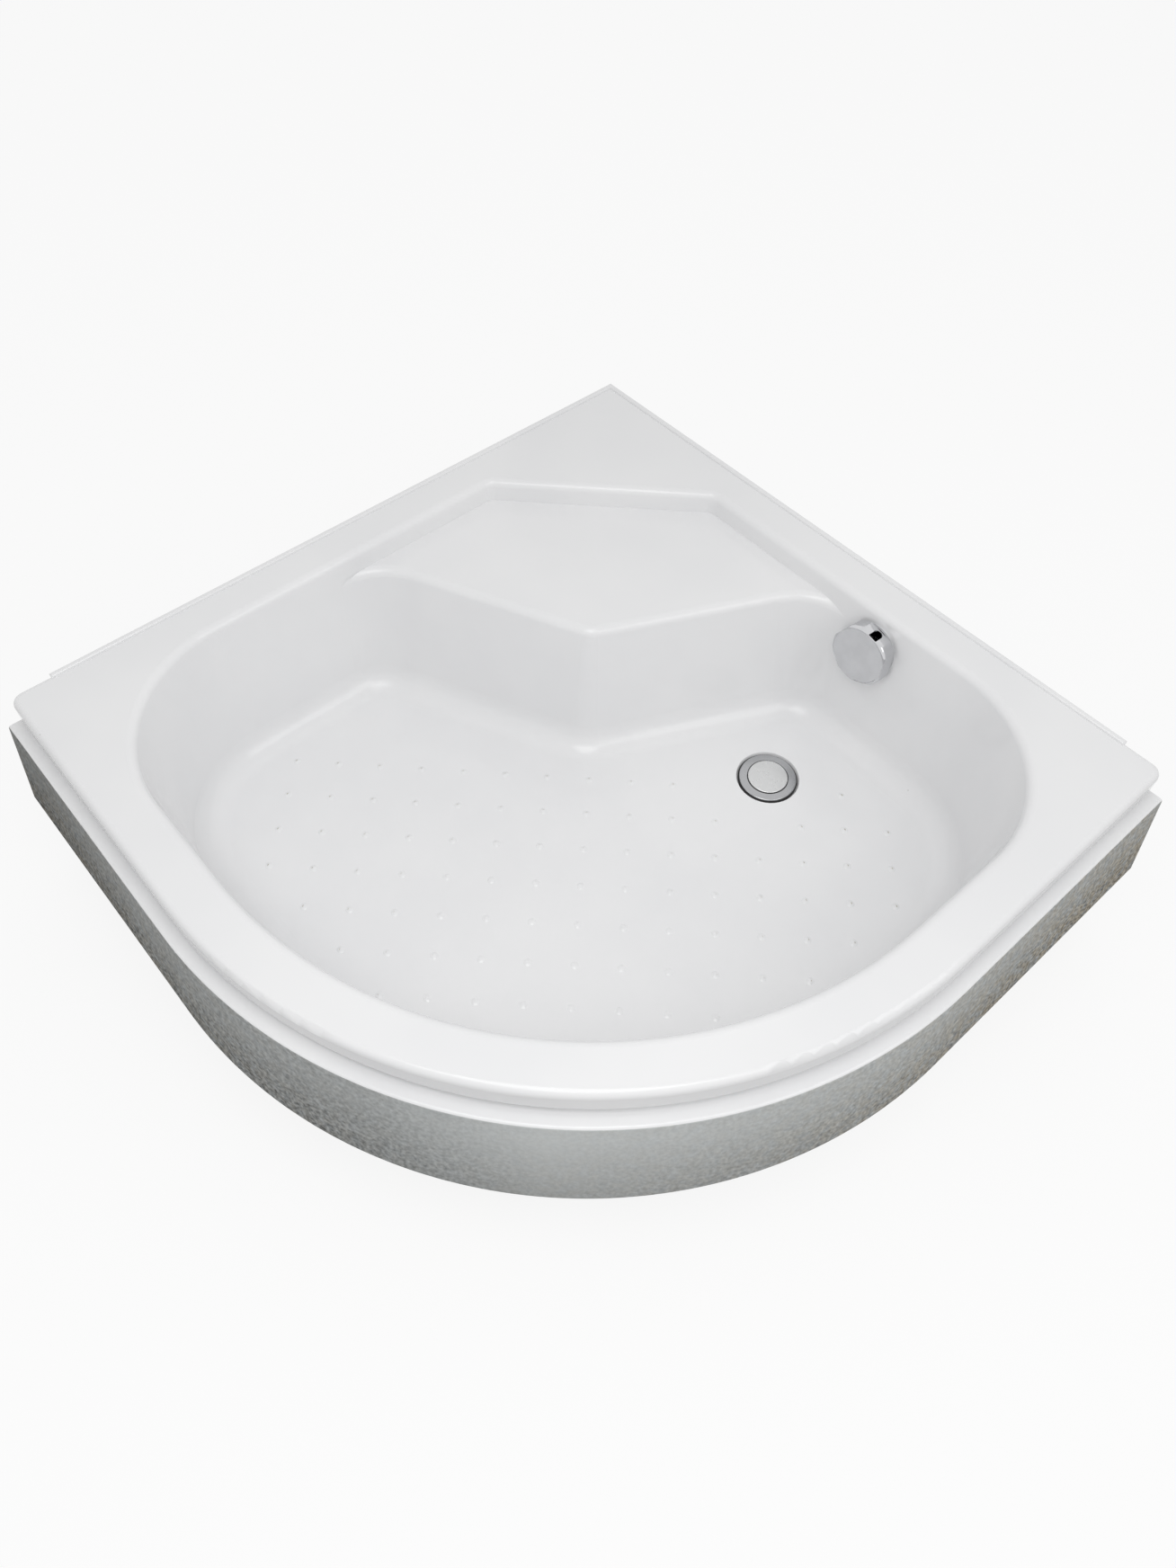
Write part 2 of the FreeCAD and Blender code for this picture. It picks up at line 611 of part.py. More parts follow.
keep(solid("tray_shell", shell.Solids[0]), "tray_shell")

# Apron: upstand behind the lip, ledge, flared face, and toe-kick under the widest line.
def front_wire(reach, radius, z, start):
    """Wire of the plan from a distance off the walls out to a reach, with the front corner rounded."""
    far = S["tray_side"] + reach
    return plan_wire([(start, start), (far, start), (far, far), (start, far)], [0, 0, radius, 0], z)


def front_block(low, high, start=0.0):
    """Solid between two plans, each given as (reach, radius, z)."""
    return Part.makeLoft([front_wire(*low, start), front_wire(*high, start)], True, True)


def even(reach, z):
    """Plan that follows the outline at an even reach."""
    return reach, S["front_radius"] + reach, z


def band(inner, outer, low, high, start=0.0):
    """Even wall of the apron between two reaches and two heights."""
    core = front_block(even(inner, low), even(inner, high), start)
    return front_block(even(outer, low), even(outer, high), start).cut(core)


SKIN = S["apron_wall"]
ledge_z = number(LEDGE_Z)
knee_z = number(KNEE_Z)
behind = -(WALL + S["apron_gap"])
flare = math.atan2(S["apron_reach"] - S["ledge_reach"], ledge_z - knee_z)
knee_loss = S["knee_round"] * (1 / math.tan((math.pi / 2 - flare) / 2) - 1)
knee_reach = S["apron_reach"] + knee_loss
knee_radius = S["knee_radius"] + knee_loss
skin_across = SKIN / math.cos(flare)
outer_face = front_block((knee_reach, knee_radius, knee_z), even(S["ledge_reach"], ledge_z))
inner_face = front_block((knee_reach - skin_across, knee_radius - skin_across, knee_z),
                         even(S["ledge_reach"] - skin_across, ledge_z))
kick_inner = S["kick_reach"] - SKIN
sole = front_block((knee_reach, knee_radius, knee_z), (knee_reach, knee_radius, knee_z + SKIN))
sole = sole.common(outer_face).cut(front_block(even(kick_inner, knee_z), even(kick_inner, knee_z + SKIN)))
apron = outer_face.cut(inner_face).fuse([
    band(behind - SKIN, S["ledge_reach"] - skin_across / 2, ledge_z - SKIN, ledge_z),
    band(behind - SKIN, behind, ledge_z - SKIN, RIM - S["apron_rise"], S["lip_corner"]),
    sole,
    band(kick_inner, S["kick_reach"], S["kick_gap"], knee_z + SKIN),
]).removeSplitter().Solids[0]


def front_run(shape, reach, z):
    """Edges of a shape that run round the front at one reach and height."""
    long = S["front_radius"] / 5
    return [e for e in level_edges(shape, z) if e.Length > long
            and (abs(e.BoundBox.XMax - FRONT_X - reach) < 0.01
                 or abs(e.BoundBox.YMin - FRONT_Y + reach) < 0.01)]


apron = apron.makeFillet(S["ledge_round"], front_run(apron, S["ledge_reach"], ledge_z))
apron = apron.makeFillet(S["knee_round"], front_run(apron, knee_reach, knee_z))
apron = solid("apron_body", apron)

# Brackets of the apron: two on the straight ends, two on the arc, each a bent strip under the board.
STRIP_Z = f"({RAIL_TOP} - Sizes.strip_thickness)"
TAB_END = f"({RAIL_TOP} - Sizes.tab_drop)"
SCREW_Z = f"({RAIL_TOP} - Sizes.tab_screw)"
SCREW_TOP = f"({RAIL_TOP} + Sizes.screw_bite)"
SCREW_HOLE = "(Sizes.screw_radius + Sizes.slip_gap)"
ARC_CENTRE = at(ARC_A, ARC_A)
REACH_OUT = "(Sizes.front_radius + Sizes.kick_reach - Sizes.apron_wall)"
STRIP_START = f"({REACH_OUT} - Sizes.strip_length)"
STRIP_SCREW = f"({STRIP_START} + Sizes.strip_screw)"
BESIDE_ARC = f"{ARC_A} - Sizes.bracket_inset"
ARC_RISE = "(Sizes.strip_width * Sizes.strip_width / (8 * Sizes.front_radius) + Sizes.fit_gap)"
FRAMES = [
    ("left", at(ARC_A, BESIDE_ARC), -90.0, "0"),
    ("front_left", ARC_CENTRE, -65.0, ARC_RISE),
    ("front_right", ARC_CENTRE, -25.0, ARC_RISE),
    ("right", at(BESIDE_ARC, ARC_A), 0.0, "0"),
]
ALONG_X = ((0, 1, 0), 90.0)


def screw_under(name, head_top):
    """Upright screw with its head under a height, up into the board."""
    head_foot = f"{head_top} - Sizes.head_height"
    return turned(name, [
        ("0", head_foot), ("Sizes.head_radius", head_foot), ("Sizes.head_radius", head_top),
        ("Sizes.screw_radius", head_top), ("Sizes.screw_radius", SCREW_TOP), ("0", SCREW_TOP)])


bracket_screws = []
apron_screws = []
apron_holes = []
for name, base, angle, set_back in FRAMES:
    tab = f"{REACH_OUT} - {set_back}"
    strip = padded(f"strip_{name}", "XZ_Plane", [
        (STRIP_START, STRIP_Z), (f"{tab} - Sizes.strip_thickness", STRIP_Z),
        (f"{tab} - Sizes.strip_thickness", TAB_END), (tab, TAB_END),
        (tab, RAIL_TOP), (STRIP_START, RAIL_TOP)], "Sizes.strip_width", True)
    drills = []
    for hand, across in (("near", "-Sizes.screw_spread"), ("far", "Sizes.screw_spread")):
        where = (STRIP_SCREW, across)
        drills.append(cylinder(f"strip_drill_{name}_{hand}", SCREW_HOLE,
                               "Sizes.strip_thickness + 2 * Sizes.cut_past", where,
                               f"{STRIP_Z} - Sizes.cut_past"))
        screw = place(screw_under(f"strip_screw_{name}_{hand}", STRIP_Z), where)
        bracket_screws.append((screw, base, angle))
    drills.append(cylinder(f"tab_drill_{name}", SCREW_HOLE, "Sizes.strip_thickness + 2 * Sizes.cut_past",
                           (f"{REACH_OUT} - Sizes.strip_thickness - Sizes.cut_past", "0"), SCREW_Z, *ALONG_X))
    bracket = keep(cut(f"bracket_{name}", strip, drills), f"apron_bracket_{name}")
    place(bracket, base, "0", (0, 0, 1), angle)
    head_end = "Sizes.apron_wall + Sizes.head_height"
    head = turned(f"apron_screw_{name}", [
        ("0", "-Sizes.screw_bite"), ("Sizes.screw_radius", "-Sizes.screw_bite"),
        ("Sizes.screw_radius", "Sizes.apron_wall"), ("Sizes.head_radius", "Sizes.apron_wall"),
        ("Sizes.head_radius", head_end), ("0", head_end)])
    place(head, (REACH_OUT, "0"), SCREW_Z, *ALONG_X)
    apron_screws.append((head, base, angle))
    hole = cylinder(f"apron_hole_{name}", SCREW_HOLE, "Sizes.apron_wall + 2 * Sizes.cut_past",
                    (f"{REACH_OUT} - Sizes.cut_past", "0"), SCREW_Z, *ALONG_X)
    apron_holes.append((hole, base, angle))


def carried(items, name):
    """The items of each bracket's own frame, carried to their places."""
    moved = []
    for i, (item, base, angle) in enumerate(items):
        held = group(f"{name}_{i + 1}", [item])
        moved.append(place(held, base, "0", (0, 0, 1), angle))
    return moved


keep(cut("apron_panel", apron, carried(apron_holes, "apron_hole_at")), "apron_panel")
keep(group("bracket_screws", carried(bracket_screws, "bracket_screw_at")), "bracket_screws")
keep(group("apron_screws", carried(apron_screws, "apron_screw_at")), "apron_screws")

# Support frame: rails under the board, with a post to the seat.
RAIL_HALF = "(Sizes.rail_size / 2)"
RAIL_BORE = "(Sizes.rail_size - 2 * Sizes.rail_wall)"


def square_tube(name, length, holes=(), studs=()):
    """Square tube along local X from 0, on local z = 0, with screw holes and stud holes at places on it."""
    bar = box(name + "_bar", length, "Sizes.rail_size", "Sizes.rail_size", ("0", f"-{RAIL_HALF}", "0"))
    core = box(name + "_core", f"{length} + 2 * Sizes.cut_past", RAIL_BORE, RAIL_BORE,
               ("-Sizes.cut_past", f"-{RAIL_BORE} / 2", "Sizes.rail_wall"))
    tools = [core]
    for i, spot_x in enumerate(holes, 1):
        tools.append(cylinder(f"{name}_hole_{i}", SCREW_HOLE, "Sizes.rail_size + 2 * Sizes.cut_past",
                              (spot_x, "0"), "-Sizes.cut_past"))
    for i, spot_x in enumerate(studs, 1):
        tools.append(cylinder(f"{name}_stud_hole_{i}", "Sizes.stud_radius + Sizes.stud_gap",
                              "Sizes.rail_wall + 2 * Sizes.cut_past", (spot_x, "0"), "-Sizes.cut_past"))
    return cut(name, bar, tools)


RAIL_BACK = "Sizes.rail_back"
RAIL_END = f"({FRONT_V} - Sizes.rail_margin)"
CROSS_END = "(Sizes.tray_side / sqrt(2) - Sizes.cross_margin)"
FRONT_FOOT = f"({RAIL_END} - Sizes.foot_inset)"
BACK_FOOT = f"({RAIL_BACK} + Sizes.foot_inset)"
SIDE_FOOT = f"({CROSS_END} - Sizes.foot_inset)"
INNER_SCREW = "Sizes.inner_screw"
OUTER_SCREW = f"({CROSS_END} - Sizes.outer_screw)"
SEAT_SCREW = "(Sizes.seat_reach + Sizes.seat_screw)"
FRONT_SCREW = f"({RAIL_END} - Sizes.front_screw)"
CROSS_V = "Sizes.cross_v"
FEET = [(FRONT_FOOT, "0"), (BACK_FOOT, "0"), (CROSS_V, f"-{SIDE_FOOT}"), (CROSS_V, SIDE_FOOT),
        (CROSS_V, "0")]
SCREWS = [(SEAT_SCREW, "0"), (FRONT_SCREW, "0"), (CROSS_V, f"-{OUTER_SCREW}"), (CROSS_V, f"-{INNER_SCREW}"),
          (CROSS_V, INNER_SCREW), (CROSS_V, OUTER_SCREW)]
diagonal = square_tube("diagonal_tube", f"{RAIL_END} - {RAIL_BACK}",
                       [f"{v} - {RAIL_BACK}" for v in (SEAT_SCREW, FRONT_SCREW)],
                       [f"{v} - {RAIL_BACK}" for v in (FRONT_FOOT, BACK_FOOT, CROSS_V)])
keep(place(diagonal, on_diagonal("0", RAIL_BACK), RAIL_Z, (0, 0, 1), -45), "rail_diagonal")
for name, sign, angle in (("left", "-", -135.0), ("right", "", 45.0)):
    cross = square_tube(f"cross_tube_{name}", f"{CROSS_END} - {RAIL_HALF}",
                        [f"{u} - {RAIL_HALF}" for u in (INNER_SCREW, OUTER_SCREW)],
                        [f"{SIDE_FOOT} - {RAIL_HALF}"])
    keep(place(cross, on_diagonal(f"{sign}{RAIL_HALF}", CROSS_V), RAIL_Z, (0, 0, 1), angle),
         f"rail_cross_{name}")

POST_TOP = f"({SEAT_UNDER} - Sizes.pad_thickness)"
POST_HEIGHT = f"({POST_TOP} - {RAIL_TOP})"
post = cut("post_tube",
           box("post_bar", "Sizes.rail_size", "Sizes.rail_size", POST_HEIGHT,
               (f"-{RAIL_HALF}", f"-{RAIL_HALF}", "0")),
           [box("post_core", RAIL_BORE, RAIL_BORE, f"{POST_HEIGHT} + 2 * Sizes.cut_past",
                (f"-{RAIL_BORE} / 2", f"-{RAIL_BORE} / 2", "-Sizes.cut_past"))])
keep(place(post, on_diagonal("0", "Sizes.post_v"), RAIL_TOP, (0, 0, 1), -45), "seat_post")
pad = box("pad_block", "Sizes.pad_length", "Sizes.pad_width", "Sizes.pad_thickness",
          ("-Sizes.pad_length / 2", "-Sizes.pad_width / 2", "0"))
pad = group("pad_held", [pad])
keep(place(pad, on_diagonal("0", "Sizes.post_v"), POST_TOP, (0, 0, 1), -45), "seat_pad")

rail_screws = []
for i, (v, u) in enumerate(SCREWS, 1):
    rail_screws.append(place(screw_under(f"rail_screw_{i}", RAIL_Z), on_diagonal(u, v)))
keep(group("rail_screws", rail_screws), "rail_screws")

# Base board under the floor, drilled for the drain and the screws.
board_corners, board_radii = basin_plan(DEPTH, -S["board_margin"] * DRAFT_COS)
board_low = number(RAIL_TOP)
board = Part.Face(plan_wire(board_corners, board_radii, board_low))
board = board.extrude(Vector(0, 0, S["board_thickness"]))
drill_low = board_low - S["cut_past"]
drill_radius = number(SCREW_HOLE)
drill_length = S["cut_past"] + S["screw_bite"] + S["slip_gap"]
drills = [Part.makeCylinder(S["dish_radius"] + S["board_hole"], S["board_thickness"] + 2 * S["cut_past"],
                            Vector(drain_x, drain_y, drill_low))]
for v, u in SCREWS:
    x, y = (number(e) for e in on_diagonal(u, v))
    drills.append(Part.makeCylinder(drill_radius, drill_length, Vector(x, y, drill_low)))
for name, base, angle, _ in FRAMES:
    turn = Rotation(Vector(0, 0, 1), angle)
    origin = Vector(number(base[0]), number(base[1]), drill_low)
    for across in (-S["screw_spread"], S["screw_spread"]):
        foot = origin + turn.multVec(Vector(number(STRIP_SCREW), across, 0))
        drills.append(Part.makeCylinder(drill_radius, drill_length, foot))
keep(solid("base_board", board.cut(drills)), "base_board")

# Levelling feet: nut under the rail, lock nut, stud and pad.
STUD_BORE = "(Sizes.stud_radius + Sizes.fit_gap)"
PAD_BOSS = "(Sizes.stud_radius + Sizes.pad_boss)"
STUD_TOP = f"({RAIL_TOP} - Sizes.rail_wall - Sizes.stud_clear)"
NUT_Z = f"({RAIL_Z} - Sizes.nut_height)"
LOCK_Z = f"({NUT_Z} - Sizes.lock_height)"
foot_nuts = []
lock_nuts = []
for i, (v, u) in enumerate(FEET, 1):
    where = on_diagonal(u, v)
    for kind, height, low, store in (("foot_nut", "Sizes.nut_height", NUT_Z, foot_nuts),
                                     ("lock_nut", "Sizes.lock_height", LOCK_Z, lock_nuts)):
        prism = doc.addObject("Part::Prism", f"{kind}_hex_{i}")
        prism.Polygon = 6
        prism.setExpression("Circumradius", "Sizes.stud_radius + Sizes.nut_wall")
        prism.setExpression("Height", height)
        bore = cylinder(f"{kind}_bore_{i}", STUD_BORE, f"{height} + 2 * Sizes.cut_past", z="-Sizes.cut_past")
        store.append(place(cut(f"{kind}_{i}", prism, [bore]), where, low))
    pad_body = turned(f"pad_{i}", [
        ("0", "0"), ("Sizes.pad_radius", "0"), ("Sizes.pad_radius", "Sizes.pad_edge"),
        (f"{PAD_BOSS} + Sizes.boss_taper", "Sizes.pad_slope"), (PAD_BOSS, "Sizes.pad_height"),
        (STUD_BORE, "Sizes.pad_height"), (STUD_BORE, "Sizes.pad_sole"), ("0", "Sizes.pad_sole")])
    keep(place(pad_body, where), f"foot_pad_{i}")
    stud = turned(f"stud_{i}", [
        ("0", "Sizes.pad_sole"), ("Sizes.stud_radius", "Sizes.pad_sole"),
        ("Sizes.stud_radius", f"{STUD_TOP} - Sizes.stud_chamfer"),
        ("Sizes.stud_radius - Sizes.stud_chamfer", STUD_TOP), ("0", STUD_TOP)])
    keep(place(stud, where), f"foot_stud_{i}")
keep(group("foot_nuts", foot_nuts), "foot_nuts")
keep(group("lock_nuts", lock_nuts), "lock_nuts")

# Drain: flange through the dish, gaskets and pop-up plug.
GASKET_RIM = "Sizes.flange_radius + Sizes.gasket_lip"
upper_gasket = ring("upper_gasket", "Sizes.drain_hole", GASKET_RIM, DISH_Z, FLANGE_Z)
keep(place(upper_gasket, DRAIN), "drain_gasket_upper")
lower_gasket = ring("lower_gasket", "Sizes.drain_hole", GASKET_RIM, COLLAR_TOP, DISH_UNDER)
keep(place(lower_gasket, DRAIN), "drain_gasket_lower")
NECK_BORE = "(Sizes.neck_radius - Sizes.neck_wall)"
PLUG_HOLE = "(Sizes.plug_radius + Sizes.plug_gap)"
PLUG_SEAT = f"({FLANGE_TOP} - Sizes.plug_seat)"
PLUG_TOP = f"({PLUG_Z} + Sizes.plug_height)"
flange = turned("flange", [
    (NECK_BORE, NECK_END), ("Sizes.neck_radius", NECK_END), ("Sizes.neck_radius", FLANGE_Z),
    ("Sizes.flange_radius", FLANGE_Z), ("Sizes.flange_radius", FLANGE_TOP),
    (PLUG_HOLE, FLANGE_TOP), (PLUG_HOLE, PLUG_SEAT), (NECK_BORE, PLUG_SEAT)])
rounded(flange, "flange_edge", "Sizes.flange_round", circle_at(S["flange_radius"], number(FLANGE_TOP)))
keep(place(flange, DRAIN), "drain_flange")

plug = turned("plug", [("0", PLUG_Z), ("Sizes.plug_radius", PLUG_Z), ("Sizes.plug_radius", PLUG_TOP),
                       ("0", PLUG_TOP)])
rounded(plug, "plug_edge", "Sizes.plug_round", circle_at(S["plug_radius"], number(PLUG_TOP)))
keep(place(plug, DRAIN), "drain_plug")
seal = ring("seal", "Sizes.neck_radius - Sizes.seal_width", "Sizes.plug_radius + Sizes.seal_lip",
            f"{PLUG_SEAT} + Sizes.seal_gap", PLUG_Z)
keep(place(seal, DRAIN), "plug_seal")
keep(place(cylinder("stem", "Sizes.stem_radius", f"{PLUG_Z} - {STEM_END}"), DRAIN, STEM_END), "plug_stem")
keep(place(cylinder("pin", "Sizes.pin_radius", "Sizes.pin_length"), DRAIN, f"{STEM_END} - Sizes.pin_length"),
     "lift_pin")


def three_legged(name, bore, hub_height, outer, height, lift):
    """Guide with a hub, a ring round it and three legs; the ring starts 'lift' above the hub's foot."""
    hub = f"({bore} + Sizes.hub_wall)"
    inner = f"({outer} - Sizes.guide_wall)"
    bite = "Sizes.guide_wall / 4"
    shapes = [ring(name + "_hub", bore, hub, "0", hub_height),
              ring(name + "_ring", inner, outer, lift, f"{lift} + {height}")]
    for i in range(3):
        leg = box(f"{name}_leg_{i + 1}", f"{inner} - {hub} + 2 * {bite}", "Sizes.leg_width", height,
                  (f"{hub} - {bite}", "-Sizes.leg_width / 2", lift))
        held = group(f"{name}_leg_at_{i + 1}", [leg])
        shapes.append(place(held, axis=(0, 0, 1), angle=30.0 + 120 * i))
    return fuse(name, shapes)


INSERT_END = f"({TRAP_Z} + Sizes.insert_lift)"
INSERT_BORE = "(Sizes.neck_radius - Sizes.insert_wall)"
GUIDE_Z = f"({INSERT_END} + Sizes.guide_lift)"
stem_guide = three_legged("stem_spider", "(Sizes.stem_radius + Sizes.fit_gap)", "Sizes.stem_hub",
                          f"({NECK_BORE} - Sizes.slip_gap)", "Sizes.stem_ring", "Sizes.guide_lift")
keep(place(stem_guide, DRAIN, f"{NECK_END} + 2 * Sizes.guide_lift"), "stem_guide")
insert = ring("insert", INSERT_BORE, "Sizes.neck_radius", INSERT_END, f"{NECK_END} - Sizes.insert_gap")
keep(place(insert, DRAIN), "trap_insert")
cable_guide = three_legged("cable_spider", "(Sizes.pin_radius + Sizes.fit_gap)", "Sizes.pin_hub",
                           f"({INSERT_BORE} - Sizes.slip_gap)", "Sizes.pin_ring", "2 * Sizes.guide_lift")
keep(place(cable_guide, DRAIN, GUIDE_Z), "cable_guide")

# Trap: bowl hung from the neck by its collar, with sockets for the outlet and the overflow pipe.
COLLAR = "(Sizes.neck_radius + Sizes.slip_gap)"
COLLAR_SIDE = f"({COLLAR} + Sizes.collar_wall)"
COLLAR_RIM = "(Sizes.flange_radius + Sizes.collar_reach)"
COLLAR_FOOT = f"({COLLAR_TOP} - Sizes.collar_height)"
COLLAR_END = f"({BOWL_TOP} - Sizes.collar_length)"
BOWL_INSIDE = "(Sizes.bowl_radius - Sizes.bowl_wall)"
SHOULDER = f"({BOWL_TOP} - Sizes.bowl_wall)"
BOWL_FLOOR = f"({TRAP_Z} + Sizes.bowl_wall)"
bowl = turned("bowl", [
    (COLLAR, COLLAR_TOP), (COLLAR_RIM, COLLAR_TOP), (COLLAR_RIM, COLLAR_FOOT), (COLLAR_SIDE, COLLAR_FOOT),
    (COLLAR_SIDE, BOWL_TOP), ("Sizes.bowl_radius", BOWL_TOP), ("Sizes.bowl_radius", TRAP_Z), ("0", TRAP_Z),
    ("0", BOWL_FLOOR), (BOWL_INSIDE, BOWL_FLOOR), (BOWL_INSIDE, SHOULDER), (COLLAR_SIDE, SHOULDER),
    (COLLAR_SIDE, COLLAR_END), (COLLAR, COLLAR_END)])
SPIGOT = "(Sizes.outlet_radius - Sizes.spigot_step)"
OUTLET_SLEEVE = f"({SPIGOT} + Sizes.outlet_sleeve)"
PIPE_SLEEVE = "(Sizes.pipe_radius + Sizes.pipe_sleeve)"
PIPE_BORE = "(Sizes.pipe_radius + Sizes.slip_gap)"
CABLE_BORE = "(Sizes.cable_radius + Sizes.slip_gap)"
core = cylinder("bowl_core", "Sizes.bowl_radius - Sizes.bowl_wall / 2", "Sizes.rim_height")

cable_start = (knob_origin + Vector(S["nipple_side"], 0, 0) - knob_axis * S["pipe_back"]
               - knob_up * S["cable_top"])
cable_z = number(CABLE_Z)
overflow_z = number(OVERFLOW_Z)
outlet_angle = -S["outlet_turn"]
cable_corner = cable_start - knob_up * ((cable_start.z - cable_z) / knob_up.z)
cable_angle = math.degrees(math.atan2(cable_corner.x - drain_x, cable_corner.y - drain_y))
pipe_top = knob_origin - knob_axis * S["pipe_back"] - knob_up * S["pipe_top"]
pipe_corner = pipe_top - knob_up * ((pipe_top.z - overflow_z) / knob_up.z)
pipe_angle = math.degrees(math.atan2(pipe_corner.x - drain_x, pipe_corner.y - drain_y))


def socket_piece(name, radius, length, angle, z):
    """Cylinder out of the bowl along a socket's axis."""
    made = cylinder(name, radius, length, z="Sizes.socket_start")
    return lying(group(name + "_at", [made]), angle, ("0", "0"), z)


SOCKET = "Sizes.socket_reach - Sizes.socket_start"
BORE = "Sizes.socket_reach"
outlet_sleeve = socket_piece("outlet_sleeve", OUTLET_SLEEVE, SOCKET, outlet_angle, OUTLET_Z)
inlet_sleeve = socket_piece("inlet_sleeve", PIPE_SLEEVE, SOCKET, pipe_angle, OVERFLOW_Z)
outlet_bore = socket_piece("outlet_bore", f"{SPIGOT} + Sizes.slip_gap", BORE, outlet_angle, OUTLET_Z)
inlet_bore = socket_piece("inlet_bore", PIPE_BORE, BORE, pipe_angle, OVERFLOW_Z)
gland_hole = cylinder("gland_hole", CABLE_BORE, "Sizes.bowl_radius + Sizes.cut_past")
lying(gland_hole, cable_angle, ("0", "0"), CABLE_Z)
sleeves = cut("trap_sleeves", fuse("trap_sleeve_pair", [outlet_sleeve, inlet_sleeve]), [core])
trap = cut("trap", fuse("trap_solid", [bowl, sleeves]), [outlet_bore, inlet_bore, gland_hole])
keep(place(trap, DRAIN), "drain_body")
gland = ring("gland", CABLE_BORE, "Sizes.cable_radius + Sizes.gland_wall",
             "Sizes.bowl_radius + Sizes.slip_gap", "Sizes.bowl_radius + Sizes.gland_length")
keep(lying(gland, cable_angle, DRAIN, CABLE_Z), "cable_gland")

SPIGOT_END = "(Sizes.socket_reach - Sizes.spigot_length)"
SPIGOT_STEP = "(Sizes.socket_reach + Sizes.outlet_collar + Sizes.nut_clear)"
OUTLET_BORE = f"({SPIGOT} - Sizes.outlet_wall)"
outlet_pipe = turned("waste_pipe", [
    (OUTLET_BORE, SPIGOT_END), (SPIGOT, SPIGOT_END), (SPIGOT, SPIGOT_STEP),
    ("Sizes.outlet_radius", SPIGOT_STEP), ("Sizes.outlet_radius", "Sizes.outlet_reach"),
    (OUTLET_BORE, "Sizes.outlet_reach")])
keep(lying(outlet_pipe, outlet_angle, DRAIN, OUTLET_Z), "outlet_pipe")
outlet_seal = ring("waste_seal", f"{SPIGOT} + Sizes.fit_gap", OUTLET_SLEEVE,
                   "Sizes.socket_reach", "Sizes.socket_reach + Sizes.outlet_collar - Sizes.nut_end")
keep(lying(outlet_seal, outlet_angle, DRAIN, OUTLET_Z), "outlet_seal")


def union_nut(name, pipe, sleeve, mouth, collar, length):
    """Nut over a sleeve whose mouth is at 'mouth' along local Z; its collar closes round the pipe."""
    outside = f"{sleeve} + Sizes.union_wall"
    inside = f"{sleeve} + Sizes.slip_gap"
    hole = f"{pipe} + Sizes.nut_gap"
    end = f"{mouth} + {collar}"
    return turned(name, [
        (hole, end), (outside, end), (outside, f"{mouth} - {length}"), (inside, f"{mouth} - {length}"),
        (inside, f"{end} - Sizes.nut_end"), (hole, f"{end} - Sizes.nut_end")])


outlet_nut = union_nut("waste_nut", SPIGOT, OUTLET_SLEEVE, "Sizes.socket_reach", "Sizes.outlet_collar",
                       "Sizes.outlet_skirt")
keep(lying(outlet_nut, outlet_angle, DRAIN, OUTLET_Z), "outlet_nut")


# Overflow: housing behind the wall on the axis of the hole, ring in front, knob on its spindle.
def at_knob(obj):
    """Put an object of the overflow's own frame (Z out of the wall, Y up) at its place."""
    obj.Placement = Placement(Vector(), knob_turn)
    drop = "Sizes.rim_width + Sizes.knob_drop * tan(Sizes.wall_draft)"
    obj.setExpression("Placement.Base.x", f"{CORNER_X} + {KNOB_B}")
    obj.setExpression("Placement.Base.y", f"{CORNER_Y} - ({drop})")
    obj.setExpression("Placement.Base.z", "Sizes.rim_height - Sizes.knob_drop")
    obj.setExpression("Placement.Rotation.Angle", "(90 - Sizes.wall_draft) * 1deg")
    return obj


TUBE = "(Sizes.overflow_hole - Sizes.hole_gap)"
TUBE_BORE = f"({TUBE} - Sizes.ring_wall)"
TUBE_GAP = f"({TUBE} + 2 * Sizes.slip_gap)"
RING_RIM = "(Sizes.knob_radius - Sizes.ring_inset)"
BACK = "(-Sizes.shell_wall)"
FACE = f"({BACK} - Sizes.wall_gasket)"
keep(at_knob(turned("front_ring", [
    (TUBE_BORE, "-Sizes.ring_length"), (TUBE, "-Sizes.ring_length"), (TUBE, "0"), (RING_RIM, "0"),
    (RING_RIM, "Sizes.ring_height"), (TUBE_BORE, "Sizes.ring_height")])), "overflow_ring")
keep(at_knob(ring("wall_gasket", TUBE_GAP, "Sizes.housing_radius + Sizes.gasket_reach", FACE, BACK)),
     "overflow_gasket")
BUSH = "(Sizes.spindle_radius + Sizes.fit_gap)"
BUSH_SIDE = f"({BUSH} + Sizes.bush_wall)"
BUSH_TOP = f"({FACE} - Sizes.housing_depth + Sizes.bush_length)"
HOUSING_END = f"({FACE} - Sizes.housing_depth)"
HOUSING_FLOOR = f"({HOUSING_END} + Sizes.housing_wall)"
HOUSING_RIM = "(Sizes.housing_radius + Sizes.housing_flange)"
HOUSING_INSIDE = "(Sizes.housing_radius - Sizes.housing_wall)"
FLANGE_BACK = f"({FACE} - Sizes.flange_back)"
housing = turned("housing", [
    (TUBE_GAP, FACE), (HOUSING_RIM, FACE), (HOUSING_RIM, FLANGE_BACK), ("Sizes.housing_radius", FLANGE_BACK),
    ("Sizes.housing_radius", HOUSING_END), (BUSH, HOUSING_END), (BUSH, BUSH_TOP), (BUSH_SIDE, BUSH_TOP),
    (BUSH_SIDE, HOUSING_FLOOR), (HOUSING_INSIDE, HOUSING_FLOOR), (HOUSING_INSIDE, FLANGE_BACK),
    (TUBE_GAP, FLANGE_BACK)])
DOWN = ((1, 0, 0), 90.0)
PIPE_DEPTH = "-Sizes.pipe_back"
